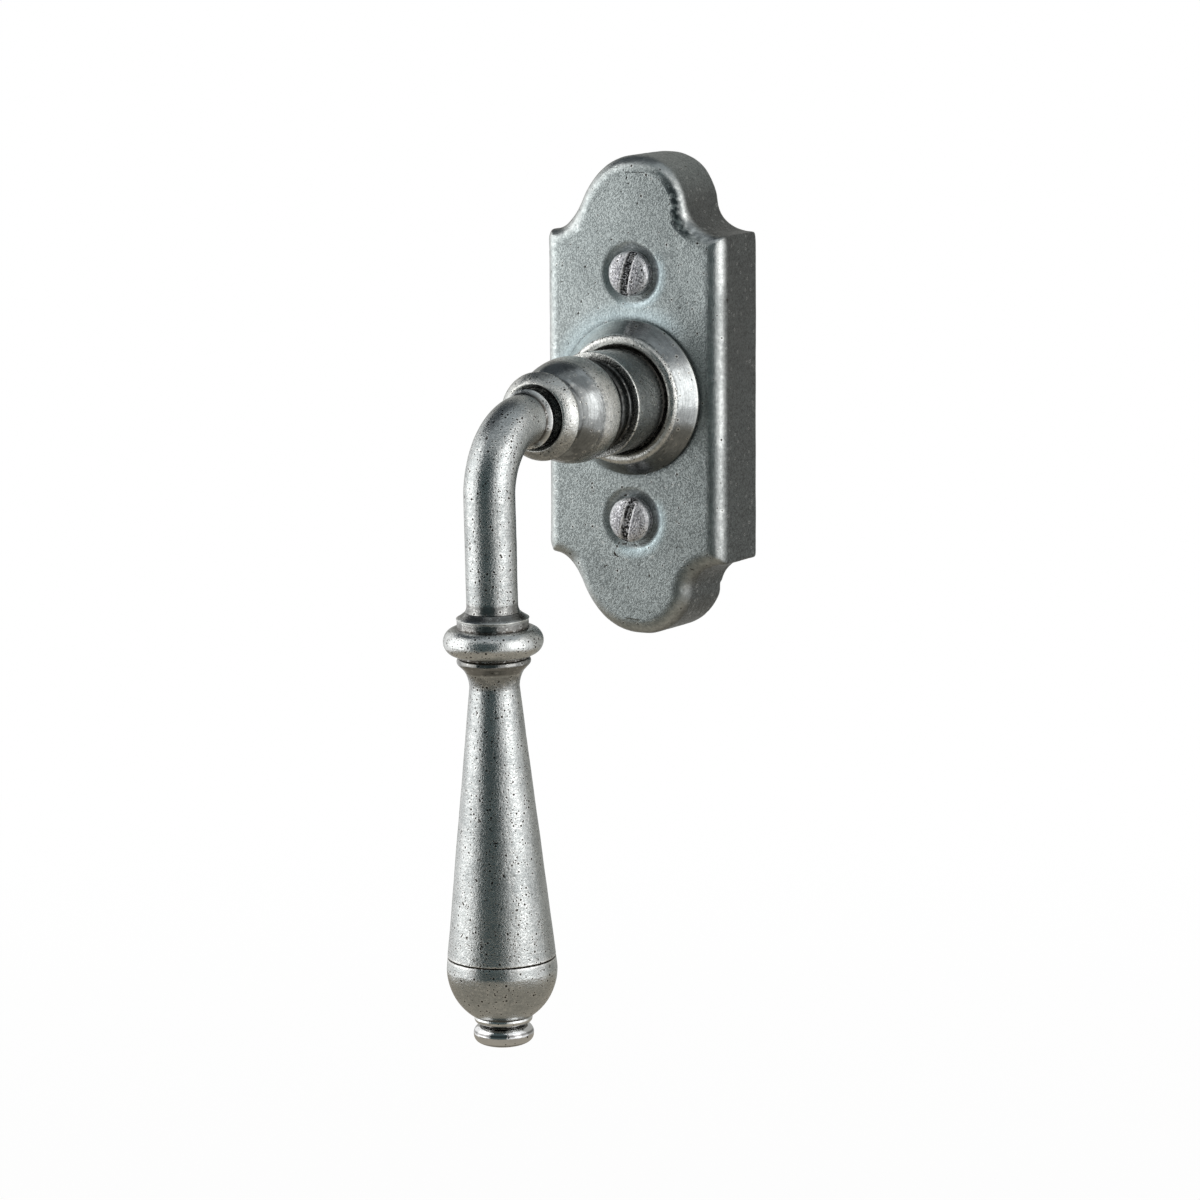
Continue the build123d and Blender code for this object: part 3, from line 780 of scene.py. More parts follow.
@dataclass(frozen=True, kw_only=True)
class Metal(Finish):
    """A metal surface with patina, pits, brushed lines, edge wear and dirt, and painted shade and highlights.
    """

    pale: Triple
    dull: Triple
    pit: Triple = (0.05, 0.045, 0.04)
    # Colour of dirt and of painted shade in hollows, creases and under things
    hollow: Triple = (0.07, 0.06, 0.05)
    # Colour of edge wear, also used as a painted highlight on the plate's round edge and on bright edge lines
    wear_sheen: Triple = (0.86, 0.86, 0.84)
    flank: Triple = (0.16, 0.15, 0.14)
    # Colour of the painted shade gradient
    painted_shade: Triple = (0.14, 0.155, 0.155)
    # Pale blue colour of painted highlights, and how much of it they get
    painted_highlight: Triple = (0.66, 0.80, 0.84)
    highlight_share: float = 0.55
    rim_share: float = 0.35
    rough: Pair = (0.24, 0.42)
    mottle: float = 0.5
    cloudy: float = 0.5
    pits: float = 0.3
    lines: float = 0.0
    relief: float = 0.5
    relief_base: float = 0.3
    pit_relief: float = 0.3
    line_relief: float = 0.2
    burnish: float = 0.0
    calming: float = 0.7
    gloss: float = 0.8
    brushing: Brushing = Brushing.NONE
    bump: float = 0.000032

    def paint(self, graph: Graph, effects: Effects) -> Inputs:
        """Mixes pale and dull metal by mottling, then darkens pits, dirt and painted shade, and brightens edge
        wear and painted highlights.

        Dullness is grain * mottle + cloud * cloudy + lines * their share, and roughness follows it. The
        height is the grain's and the lines' less the pits'.

        Args:
            graph: The material's graph.
            effects: The shared node groups.

        Returns:
            The surface shader's inputs by name.
        """
        sand, wear = graph.use(effects.sand), graph.use(effects.wear)
        polished = graph.most(graph.mark("polished"), graph.times(graph.mark("wear_and_sheen"), self.burnish))
        rugged = graph.math("SUBTRACT", 1.0, graph.times(polished, self.calming))
        marked = graph.spread(graph.mark("pitted"), 0.25, 0.85)
        pits = graph.use(effects.pits, Share=graph.times(rugged, self.pits), Marked=marked)
        lines = graph.spread(graph.noise(0.16, 3.0, 0.6, self.brushing.value), 0.32, 0.68)
        grain = graph.times(sand["Grain"], rugged)
        dullness = graph.plus(graph.times(grain, self.mottle), graph.times(sand["Cloud"], self.cloudy))
        dullness = graph.plus(dullness, graph.times(lines, self.lines))
        colour = self.patina(graph, graph.blend(dullness, tint(self.pale), tint(self.dull)), grain)
        # Edge wear, brightened further where a highlight is painted
        colour = graph.blend(wear["Edge"], colour, tint(self.wear_sheen))
        # Dirt and painted shade
        colour = graph.blend(wear["Dirt_shade"], colour, tint(self.hollow))
        colour = graph.blend(graph.times(pits["Rim"], self.rim_share), colour, tint(self.wear_sheen))
        colour = graph.blend(pits["Mask"], colour, tint(self.pit))
        roughness = graph.spread(dullness, 0.0, 1.0, *self.rough)
        roughness = graph.times(roughness, graph.spread(polished, 0.0, 1.0, 1.0, self.gloss))
        height = graph.plus(graph.times(grain, self.relief), self.relief_base)
        height = graph.plus(height, graph.times(lines, self.lines * self.line_relief))
        height = graph.math("SUBTRACT", height, graph.times(pits["Mask"], self.pit_relief))
        normal = graph.bump(height, self.bump, 1.0)
        return {"Base Color": colour, "Metallic": 1.0, "Roughness": roughness, "Normal": normal}

    def patina(self, graph: Graph, metal: Socket, grain: Socket) -> Socket:
        """Darkens the filed sides in streaks, then paints the shade gradient, then paints the pale blue
        highlights.

        Args:
            graph: The material's graph.
            metal: Colour of the clean metal.
            grain: The surface's grain.

        Returns:
            The colour with its patina.
        """
        streak = graph.spread(graph.noise(0.8, 5.0, 0.7, (1, 5, 1)), 0.35, 0.7)
        flank = graph.blend(streak, tint(self.flank), tint(self.flank, 0.55))
        # Painted shade gradient, mottled by the grain
        gradient_shade = graph.blend(grain, tint(self.painted_shade, 1.5), tint(self.painted_shade, 0.5))
        colour = graph.blend(graph.mark("side"), metal, flank)
        colour = graph.blend(graph.mark("painted_shade"), colour, gradient_shade)
        # Painted pale blue highlights
        return graph.blend(graph.times(graph.mark("painted_highlight"), self.highlight_share), colour, tint(self.painted_highlight))


@dataclass(frozen=True, kw_only=True)
class Moulded(Finish):
    """A moulded plastic with faint clouds and the fine peel of its mould."""

    colour: Triple
    rough: float = 0.45
    peel: float = 0.00002

    def paint(self, graph: Graph, effects: Effects) -> Inputs:
        """Shades the colour by clouds and adds a fine orange-peel bump.

        Args:
            graph: The material's graph.
            effects: The shared node groups.

        Returns:
            The surface shader's inputs by name.
        """
        colour = graph.blend(graph.use(effects.sand)["Cloud"], tint(self.colour), tint(self.colour, 0.8))
        normal = graph.bump(graph.noise(0.6, 2.0), self.peel, 0.4)
        return {"Base Color": colour, "Roughness": self.rough, "Normal": normal}


PLATE_IRON = Metal(
    name="plate_iron", seed=1.3, pale=(0.64, 0.70, 0.69), dull=(0.38, 0.42, 0.42),
    hollow=(0.06, 0.075, 0.08), flank=(0.13, 0.13, 0.125), wear_sheen=(0.86, 0.88, 0.86),
    rough=(0.32, 0.44), mottle=0.85, cloudy=0.3, pits=0.05, burnish=1.0,
)
LEVER_IRON = Metal(
    name="lever_iron", seed=4.1, pale=(0.66, 0.68, 0.67), dull=(0.32, 0.34, 0.34),
    wear_sheen=(0.95, 0.95, 0.93), rough=(0.2, 0.3), mottle=0.45, cloudy=0.35, pits=0.8,
    lines=0.3, brushing=Brushing.ROUND_GRIP,
)
HUB_IRON = Metal(
    name="hub_iron", seed=2.6, pale=(0.64, 0.67, 0.67), dull=(0.22, 0.23, 0.23),
    hollow=(0.03, 0.03, 0.028), wear_sheen=(0.86, 0.85, 0.80), rough=(0.145, 0.34),
    mottle=0.6, cloudy=0.5, pits=0.4, lines=0.3, brushing=Brushing.ROUND_HUB,
)
FINIAL_STEEL = Metal(
    name="finial_steel", seed=6.2, pale=(0.82, 0.83, 0.84), dull=(0.52, 0.53, 0.55),
    rough=(0.07, 0.16), mottle=0.15, cloudy=0.2, pits=0.1, lines=0.2,
    bump=0.00001, brushing=Brushing.ROUND_GRIP,
)
SCREW_STEEL = Metal(
    name="screw_steel", seed=7.5, pale=(0.70, 0.70, 0.73), dull=(0.14, 0.14, 0.16),
    hollow=(0.015, 0.015, 0.015), wear_sheen=(1.0, 1.0, 1.0), rough=(0.36, 0.5),
    mottle=0.9, cloudy=0.2, pits=0.5, relief=1.0, bump=0.00006,
)
PLATED_STEEL = Metal(
    name="plated_steel", seed=8.4, pale=(0.72, 0.73, 0.72), dull=(0.56, 0.57, 0.56),
    rough=(0.24, 0.34), mottle=0.3, cloudy=0.5, pits=0.1, lines=0.4,
    brushing=Brushing.ALONG_SPINDLE,
)
SPRING_STEEL = Metal(
    name="spring_steel", seed=9.9, pale=(0.36, 0.37, 0.40), dull=(0.22, 0.23, 0.26),
    rough=(0.24, 0.36), mottle=0.2, cloudy=0.4, pits=0.1, lines=0.4,
    brushing=Brushing.ALONG_LEAF,
)
ZINC_CASTING = Metal(
    name="zinc_casting", seed=11.3, pale=(0.52, 0.53, 0.55), dull=(0.38, 0.39, 0.41),
    rough=(0.44, 0.6), mottle=0.6, cloudy=0.4, pits=0.2,
)
BUSH_PLASTIC = Moulded(name="bush_plastic", seed=9.1, colour=(0.32, 0.31, 0.28))
FINISHES = (
    PLATE_IRON, LEVER_IRON, HUB_IRON, FINIAL_STEEL, SCREW_STEEL,
    PLATED_STEEL, SPRING_STEEL, ZINC_CASTING, BUSH_PLASTIC,
)


# Pieces


@dataclass
class Piece:
    """A visible piece: its CAD node's name, the body it rides on, its material slot and its finish."""

    name: str
    body: str = "lever"
    slot: str = "lever_iron"
    finish: Finish = LEVER_IRON

    def build(self) -> bpy.types.Object:
        """The piece's mesh, made by each kind of piece in its own way."""
        raise NotImplementedError

    def dress(self, finishes: dict[str, bpy.types.Material]) -> None:
        """Builds the piece, gives it its finish and puts it in its CAD node's place.

        Args:
            finishes: The materials by name.
        """
        made = self.build()
        made.data.materials.append(finishes[self.finish.name])
        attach(made, self.body)
        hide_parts(self.name)
        log.info("%s: %d points", self.name, len(made.data.vertices))


@dataclass
class Turned(Piece):
    """A piece turned on an axle: a profile swept through a full circle, then made uneven."""

    axle: Axle | BentAxle = GRIP_AXLE
    skin: Skin = HUB_SKIN
    closed: bool = True
    edge: float = 0.07
    spacing: float = 0.3
    around: int = 192
    bare: float = 2.2
    start: float = -1000.0
    # Bands of edge wear; some are thin bright lines painted where an edge catches the light
    wear_and_sheen_bands: Spans = ()
    smooth: Spans = ()
    # Bands of painted shade along the axis: in coves, grooves, under flanges and across polished curves, and
    # dark lines at joints
    dark: Spans = ()

    def outline(self) -> Outline:
        """The profile, drawn by each piece from its own sizes."""
        raise NotImplementedError

    def shape(self, at: Swept) -> None:
        """Shapes and marks what isn't round about a piece, such as a slot or a square socket."""

    @staticmethod
    def banded(spans: Spans, distance: Array) -> Array:
        """The highest share among bands along the axis, each with soft ends as long as FADE.

        Args:
            spans: Start, end and share of each band.
            distance: Distances along the axis.

        Returns:
            A share for each point.
        """
        found, half = np.zeros_like(distance), FADE / 2
        for first, last, share in spans:
            begun, ended = (ease(place - half, place + half, distance) for place in (first, last))
            found = np.maximum(found, share * (begun * (1 - ended)))
        return found

    def build(self) -> bpy.types.Object:
        """Sweeps the profile: point (ring, angle) is the axle's place of (radius, distance, angle).

        Returns:
            The finished mesh, with marks for wear and painted highlights, dirt and painted shade, pits and
            polish.
        """
        rows = self.outline().work(self.closed, self.edge, self.spacing)
        rows = rows[:-1] if self.closed else rows[rows[:, 0] > POLE]
        angle = np.linspace(0, 2 * pi, self.around, endpoint=False)
        parts = (*rows.T[..., None], angle[None, :])
        grid = (np.broadcast_to(part, (len(rows), self.around)) for part in parts)
        radius, distance, wear_and_sheen, dirt_and_shade, turn = grid
        at = Swept(radius, distance, turn)
        self.shape(at)
        calm = ease(self.bare, self.bare + FADE, at.radius) * ease(self.start, self.start + FADE, at.distance)
        rings = self.axle.place(at)
        rings, pits = self.skin.roughen(rings, outward(rings, self.closed), calm)
        # Dirt and painted shade: the piece's own marks and its bands of painted shade
        hollow = np.maximum(at.hollow, self.banded(self.dark, at.distance))
        wear_sheen = self.banded(self.wear_and_sheen_bands, at.distance) * calm * (1 - hollow)
        wear_and_sheen = np.maximum(wear_and_sheen * CORNER_WEAR * (1 - hollow), wear_sheen)
        marks = {
            "wear_and_sheen": np.maximum(wear_and_sheen, at.wear_sheen),
            "dirt_and_shade": np.maximum(dirt_and_shade, hollow),
            "pitted": pits,
            "polished": self.banded(self.smooth, at.distance) * calm,
        }
        return make_rings(self.name, rings, self.closed, marks)


@dataclass
class Rosette(Turned):
    """The turned collar swaged into the plate, with a conical flank, a round lip and a dished face."""

    name: str = "rosette"
    body: str = "plate"
    slot: str = "plate_iron"
    finish: Finish = HUB_IRON
    axle: Axle = HUB_AXLE
    spacing: float = 0.25
    bare: float = 8.6
    start: float = 0.05
    wear_and_sheen_bands: Spans = ((4.1, 5.0, 0.6),)
    smooth: Spans = ((0.0, 3.8, 1.0),)
    foot: Pair = (13.6, 0.6)
    lip: Pair = (10.4, 4.75)
    lip_round: float = 1.0
    seat: Pair = (8.7, 3.5)
    bore: float = 7.85
    spigot: Pair = (9.8, -2.8)

    def outline(self) -> Outline:
        """Foot, conical flank, round lip, dish, seat, bore and spigot.

        Returns:
            The profile.
        """
        (foot, height), (lip, rise), (spigot, end) = self.foot, self.lip, self.spigot
        lip_out = (lip + self.lip_round, rise - self.lip_round * 0.8)
        lip_in = (lip - self.lip_round, rise - self.lip_round * 0.6)
        profile = Outline(foot, 0).line((foot, height), lip_out).arc(self.lip, lip_in)
        profile.curve((-0.9, -1), self.seat, (-1, 0)).line((self.bore, self.seat[1]), (self.bore, end))
        return profile.line((spigot, end), (spigot, 0), (foot, 0))

    def shape(self, at: Swept) -> None:
        """Leaves the rosette round, and paints shade inside its lip and at its foot."""
        # Painted shade at the foot, strongest against the plate and on the lower side, and inside the lip
        # round the collar
        foot = 0.2 + 0.4 * (1 - ease(0.1, 0.5, at.distance)) + 0.35 * ease(0.1, -0.7, np.sin(at.angle))
        at.hollow = np.maximum(1 - ease(9.3, 9.8, at.radius), foot * (1 - ease(3.7, 4.1, at.distance)))


@dataclass
class LeverHub(Turned):
    """The hub: cup, bead, waist, barrel, ring, groove, collar and journal, with a square socket behind."""

    name: str = "lever_hub"
    finish: Finish = HUB_IRON
    axle: Axle = HUB_AXLE
    closed: bool = False
    bare: float = 5.2
    start: float = 4.7
    # The collar's front edge is wear painted bright as a highlight; the barrel and bead bands are wear
    wear_and_sheen_bands: Spans = ((13.55, 13.85, 0.9), (19.6, 24.2, 0.75), (31.0, 33.6, 0.6))
    smooth: Spans = ((13.9, 19.4, 1.0), (24.8, 30.8, 1.0))
    # Painted shade in the groove between collar and barrel
    dark: Spans = ((14.0, 18.8, 1.0),)
    # Where the ragged dark patch lies over the barrel's front
    patch_bands: Spans = ((23.6, 29.0, 1.0),)
    cup: Pair = (5.0, 32.6)
    lip: Pair = (5.85, 33.7)
    lip_width: float = 0.2
    bead: Pair = (7.6, 31.5)
    bead_bulge: Pair = (0.184, 0.138)
    bead_under: Pair = (0.3, 0.37)
    bead_foot: Pair = (6.5, 30.3)
    waist: Pair = (6.1, 29.15)
    barrel_front: Pair = (6.4, 28.0)
    barrel: Pair = (9.2, 20.5)
    barrel_back: Pair = (7.6, 17.7)
    ring: Pair = (8.35, 17.0)
    groove: Pair = (7.6, 16.3)
    fillet: Pair = (0.5, 0.146)
    collar: Pair = (9.25, 13.8)
    collar_back: Pair = (8.9, 4.4)
    chamfers: Triple = (0.15, 0.3, 0.4)
    journal: float = 6.6
    tail: float = -5.3
    snap_groove: Triple = (6.0, -3.65, -4.75)
    tenon_bore: Pair = (3.45, 20.5)
    socket: Pair = (3.55, 13.8)

    def outline(self) -> Outline:
        """From the tenon's bore out over the front, back to the journal's tail and into the socket.

        Returns:
            The profile.
        """
        (bore, floor), (lip, top) = self.tenon_bore, self.lip
        profile = Outline(0, floor).line(self.tenon_bore, (bore, self.cup[1]), self.cup)
        profile.line((lip - self.lip_width, top), self.lip)
        (crest, high), (out, forward) = self.bead, self.bead_bulge
        profile.arc(((crest + lip) / 2 + out, (high + top) / 2 + forward), self.bead)
        (foot, low), (inwards, up) = self.bead_foot, self.bead_under
        profile.arc((crest - (crest - foot) * inwards, low + (high - low) * up), self.bead_foot)
        profile.arc(self.waist, self.barrel_front).curve((1.2, -1), self.barrel, (0, -1))
        profile.curve((0, -1), self.barrel_back, (-1, -1)).arc(self.ring, self.groove)
        root, (radius, front), (fillet, depth) = self.groove[0], self.collar, self.fillet
        profile.line((root, front + fillet)).arc((root + depth, front + depth), (root + fillet, front))
        chamfer, bevel, end_bevel = self.chamfers
        profile.line((radius - chamfer, front), (radius, front - chamfer))
        back_radius, back = self.collar_back
        profile.line((back_radius, back + bevel), (back_radius - bevel, back), (self.journal, back))
        inner, near, far = self.snap_groove
        profile.line((self.journal, near), (inner, near), (inner, far), (self.journal, far))
        profile.line((self.journal, self.tail + end_bevel), (self.journal - end_bevel, self.tail))
        return profile.line((self.socket[0], self.tail), self.socket, (0, self.socket[1]))

    def shape(self, at: Swept) -> None:
        """Squares the socket, and paints shade inside the cup and on the underside, and a ragged dark patch
        over the barrel's front.

        The socket's radius is multiplied by 1 / max(|cos|, |sin|), easing out to the rim.

        Args:
            at: The points, changed in place.
        """
        across, up = np.cos(at.angle), np.sin(at.angle)
        square = 1 / np.maximum(np.abs(across), np.abs(up))
        in_socket = at.distance < self.socket[1] + 0.2
        inside = ease(self.journal - 0.5, self.socket[0] + 0.1, at.radius) * in_socket
        # Painted shade inside the cup
        cup = (1 - ease(5.0, 6.1, at.radius)) * ease(31.0, 32.0, at.distance)
        place = np.stack([at.radius * across, at.radius * up, at.distance], -1)
        ragged = Slopes(71).at(place, 3.2) + 0.4 * Slopes(72).at(place, 0.7)
        front = self.banded(self.patch_bands, at.distance - 1.2 * ragged)
        # Painted shade on the underside, and the ragged dark patch
        darkening = 0.3 * ease(-0.2, -0.9, up) + 0.34 * front * ease(-0.35, 0.05, ragged)
        at.radius = at.radius * (1 + (square - 1) * inside)
        at.hollow = np.clip(np.maximum(0.8 * cup, darkening), 0, 1)


@dataclass
class LeverNeck(Turned):
    """The round bar: tenon, flange, bend, straight run, flare and the tail that the grip screws on."""

    name: str = "lever_neck"
    axle: BentAxle = NECK_AXLE
    skin: Skin = LEVER_SKIN
    closed: bool = False
    bare: float = 3.5
    start: float = 33.2
    smooth: Spans = ((33.0, 37.4, 0.7), (72.6, 74.4, 0.7))
    # Painted shade just past the flange and on the flare into the grip ring
    dark: Spans = ((36.2, 37.0, 0.3), (72.7, 74.4, 0.65))
    radius: float = 4.35
    tenon: Pair = (3.4, 20.6)
    seat: Pair = (4.95, 32.6)
    flange: Pair = (5.15, 35.875)
    flange_end: float = 36.6
    swell: float = 0.25
    flare: Pair = (0.35, 1.2)
    ring_top: float = 31.0
    grip_top: float = 38.7
    tail_end: float = 45.7
    rod_bore: float = 2.01

    def outline(self) -> Outline:
        """From the tenon's end over the flange and along the bar, and back up the tail's bore.

        Returns:
            The profile.
        """
        (seat_radius, seat), crest, radius, tenon = self.seat, self.flange[1], self.radius, self.tenon[0]
        profile = Outline(0, self.tenon[1]).line(self.tenon, (tenon, seat), self.seat)
        profile.arc((seat_radius - self.swell, (seat + crest) / 2), self.flange)
        profile.arc((radius + self.swell, (crest + 2 * self.flange_end) / 3), (radius, self.flange_end))
        below, (flare, length) = self.axle.below, self.flare
        top, shoulder, end = below(self.ring_top), below(self.grip_top), below(self.tail_end)
        profile.line((radius, below(self.ring_top - length)))
        profile.arc((radius + flare * 0.3, below(self.ring_top - length * 0.4)), (radius + flare, top))
        profile.line((tenon, top), (tenon, end), (self.rod_bore, end), (self.rod_bore, shoulder))
        return profile.line((0, shoulder))


@dataclass
class GripRing(Turned):
    """The ring over the grip: a sharp flange, a band and a full round ring."""

    name: str = "grip_ring"
    bare: float = 3.6
    # The flange's rim is a thin bright line painted as a highlight
    wear_and_sheen_bands: Spans = ((31.9, 32.2, 1.0),)
    smooth: Spans = ((30.9, 33.5, 0.7), (33.5, 39.0, 0.3))
    # Painted shade on the hollow top slope and on the band under the flange, and a dark line at the joint
    dark: Spans = ((31.0, 31.8, 0.75), (32.4, 33.7, 0.75), (38.2, 38.8, 1.0))
    bore: float = 3.45
    top: float = 31.0
    foot: float = 38.7
    neck: float = 4.7
    flange: Pair = (6.2, 32.04)
    hollow: float = 0.45
    band: Pair = (6.05, 32.3)
    torus: Pair = (8.45, 35.95)
    torus_round: float = 2.35

    def outline(self) -> Outline:
        """Top slope, flange, band, round ring, foot and bore. The round's half chord is sqrt(r^2 - off^2).

        Returns:
            The profile.
        """
        band, (crest, middle) = self.band[0], self.torus
        rise = sqrt(self.torus_round**2 - (band - (crest - self.torus_round)) ** 2)
        slope = ((self.neck + self.flange[0]) / 2, self.flange[1] - self.hollow)
        profile = Outline(self.bore, self.top).line((self.neck, self.top))
        profile.arc(slope, self.flange).line(self.band)
        profile.line((band, middle - rise)).arc(self.torus, (band, middle + rise))
        return profile.line((band, self.foot), (self.bore, self.foot), (self.bore, self.top))


@dataclass
class Grip(Turned):
    """The long pear-shaped grip, with a bead, a step and a cove at its narrow end."""

    name: str = "grip"
    skin: Skin = LEVER_SKIN
    around: int = 224
    bare: float = 3.6
    smooth: Spans = ((38.6, 41.3, 1.0),)
    # Painted shade across the bead and step below the ring's joint, and in the cove
    dark: Spans = ((38.7, 41.1, 0.7), (41.5, 43.4, 0.4))
    top: float = 38.7
    bead: Pair = (6.25, 39.35)
    bead_foot: Pair = (5.95, 40.0)
    step: Pair = (5.1, 40.9)
    cove: Pair = (4.4625, 42.35)
    waist: Pair = (4.25, 43.8)
    flank_end: Pair = (9.2, 90.05)
    chamfer: float = 0.15
    end: float = 90.2
    rod_bore: float = 2.05
    socket: Pair = (3.45, 45.8)

    def outline(self) -> Outline:
        """Bead, step, cove and flank down to the joint, then the bores.

        Returns:
            The profile.
        """
        profile = Outline(self.socket[0], self.top).line((self.bead_foot[0], self.top))
        profile.arc(self.bead, self.bead_foot)
        profile.line(self.step).arc(self.cove, self.waist).line(self.flank_end)
        profile.line((self.flank_end[0] - self.chamfer, self.end), (self.rod_bore, self.end))
        return profile.line((self.rod_bore, self.socket[1]), self.socket, (self.socket[0], self.top))

    def shape(self, at: Swept) -> None:
        """Leaves the grip round, and marks dark lines beside the two joints."""
        low = ease(self.end - 0.22, self.end - 0.1, at.distance)
        at.hollow = np.maximum(low, 1 - ease(self.top + 0.05, self.top + 0.3, at.distance))


@dataclass
class GripCap(Turned):
    """The rounded end below the joint, running into a small ring."""

    name: str = "grip_cap"
    smooth: Spans = ((90.3, 99.5, 0.4), (99.5, 102.0, 0.9))
    # Painted shade in the crease above the small ring and at the joint below it
    dark: Spans = ((99.9, 100.5, 0.7), (101.4, 101.7, 0.7))
    top: float = 90.2
    radius: float = 9.2
    chamfer: float = 0.15
    swell: Pair = (9.4, 92.3)
    drop: float = 9.7
    ring: Pair = (4.95, 100.95)
    ring_half: float = 0.65
    ring_round: float = 0.35
    rod_bore: float = 2.05

    def outline(self) -> Outline:
        """Joint, bowl, small ring and bore. The bowl is (swell * cos, swell + drop * sin) of a growing turn.

        Returns:
            The profile.
        """
        ring_in, middle = self.ring[0] - self.ring_round, self.ring[1]
        wide, start = self.swell
        last = np.arcsin((middle - self.ring_half - start) / self.drop)
        profile = Outline(self.rod_bore, self.top).line((self.radius - self.chamfer, self.top))
        profile.line((self.radius, self.top + self.chamfer), self.swell)
        turns = last * np.linspace(0.05, 1, 24)
        profile.line(*((wide * cos(turn), start + self.drop * sin(turn)) for turn in turns))
        profile.line((ring_in, middle - self.ring_half)).arc(self.ring, (ring_in, middle + self.ring_half))
        return profile.line((self.rod_bore, middle + self.ring_half), (self.rod_bore, self.top))

    def shape(self, at: Swept) -> None:
        """Leaves the cap round, and marks a dark line beside the joint."""
        at.hollow = 1 - ease(self.top + 0.1, self.top + 0.2, at.distance)


@dataclass
class Finial(Turned):
    """The small end knob, screwed on the tie rod."""

    name: str = "finial"
    slot: str = "finial_steel"
    finish: Finish = FINIAL_STEEL
    skin: Skin = SMOOTH_SKIN
    closed: bool = False
    spacing: float = 0.2
    # Painted dark bands across the knob, between its reflections
    dark: Spans = ((102.9, 103.25, 0.8), (104.75, 105.05, 0.8))
    top: float = 101.6
    stem: Pair = (3.6, 102.0)
    shoulder: Pair = (4.743, 102.555)
    widest: Pair = (5.1, 103.85)
    end: float = 105.7
    bore: Pair = (2.01, 104.59)

    def outline(self) -> Outline:
        """From the bore's floor over the stem and the knob to its end.

        Returns:
            The profile.
        """
        profile = Outline(0, self.bore[1]).line(self.bore, (self.bore[0], self.top), (self.stem[0], self.top))
        profile.line(self.stem).arc(self.shoulder, self.widest)
        return profile.curve((0, 1), (0, self.end), (-1, 0))


@dataclass
class FixingScrew(Turned):
    """A slotted screw: domed head with tool rings and a ragged slot, plain shank, then a thread."""

    body: str = "plate"
    slot: str = "screw_steel"
    finish: Finish = SCREW_STEEL
    skin: Skin = SCREW_SKIN
    closed: bool = False
    edge: float = 0.06
    spacing: float = 0.09
    around: int = 256
    bare: float = 2.8
    start: float = -0.8
    head: Pair = (3.95, 0.6)
    dome: float = 1.5
    tool_rings: Pair = (0.012, 0.42)
    seat: float = -0.6
    shank: float = 2.25
    thread: Pair = (2.5, 0.8)
    thread_start: float = -22.7
    thread_depth: float = 0.49
    thread_fade: Pair = (-23.6, -22.9)
    tip: float = -38.2
    point: Pair = (0.56, 0.8)
    kerf: Pair = (1.45, 0.6)
    slot_turn: float = 13.5
    ragged: int = 5

    def outline(self) -> Outline:
        """Dome, side of the head, seat, shank, thread and point.

        Returns:
            The profile.
        """
        (radius, rim), thread, (slant, length) = self.head, self.thread[0], self.point
        profile = Outline(0, rim + self.dome).curve((1, 0), self.head, (0, -1))
        profile.line((radius, self.seat), (self.shank, self.seat), (self.shank, self.thread_start))
        profile.line((thread, self.thread_start), (thread, self.tip + length))
        return profile.line((thread - slant, self.tip), (0, self.tip))

    def shape(self, at: Swept) -> None:
        """Cuts the slot, the tool rings and the thread.

        The slot is where the way across its line is under half its width; its floor is the dome less
        the depth. The thread takes up to its depth off the radius, as a triangle wave of
        distance / pitch + angle / 2 pi.

        Args:
            at: The points, changed in place.
        """
        turn = at.angle - radians(90 - self.slot_turn)
        along, across = at.radius * np.cos(turn), at.radius * np.sin(turn)
        noise = Slopes(self.ragged)
        place = np.stack([along, across, np.full_like(along, self.ragged)], -1)
        half = self.kerf[0] / 2 + 0.12 * noise.at(place, 0.8) + 0.05 * noise.at(place, 0.3)
        beyond = np.abs(across) - half
        inside = 1 - ease(-0.09, 0.09, beyond)
        on_head = (at.distance > self.head[1] - 0.02) & (at.radius > 0)
        depth = (self.kerf[1] + 0.18 * noise.at(place + 7, 0.4)) * inside * on_head
        (height, pitch), rim = self.tool_rings, self.head[1]
        rings = height * np.sin(2 * pi * at.radius / pitch) * ease(rim, rim + 0.2, at.distance)
        on_thread = ease(self.tip + 0.1, self.tip + 1.2, at.distance)
        on_thread = on_thread * (1 - ease(*self.thread_fade, at.distance))
        wave = (at.distance / self.thread[1] + at.angle / (2 * pi)) % 1
        cut = self.thread_depth * np.abs(2 * wave - 1) * on_thread * (at.radius > 1.8)
        scraped = ease(0.05, 0.25, noise.at(place + 3, 0.32) - 0.25 * noise.at(place + 5, 0.9))
        burr = ease(-0.1, 0.02, beyond) * (1 - ease(0.2, 0.42, beyond)) * on_head
        at.radius = at.radius - cut
        at.distance = at.distance - depth + rings * (1 - inside) - 0.06 * burr
        # Painted shade in the slot, deepest at its floor, broken by scraped patches
        at.hollow = np.clip(depth / 0.5, 0, 1) * (1 - 0.8 * scraped)
        at.wear_sheen = np.maximum(0.9 * burr, scraped * np.clip(depth, 0, 1))


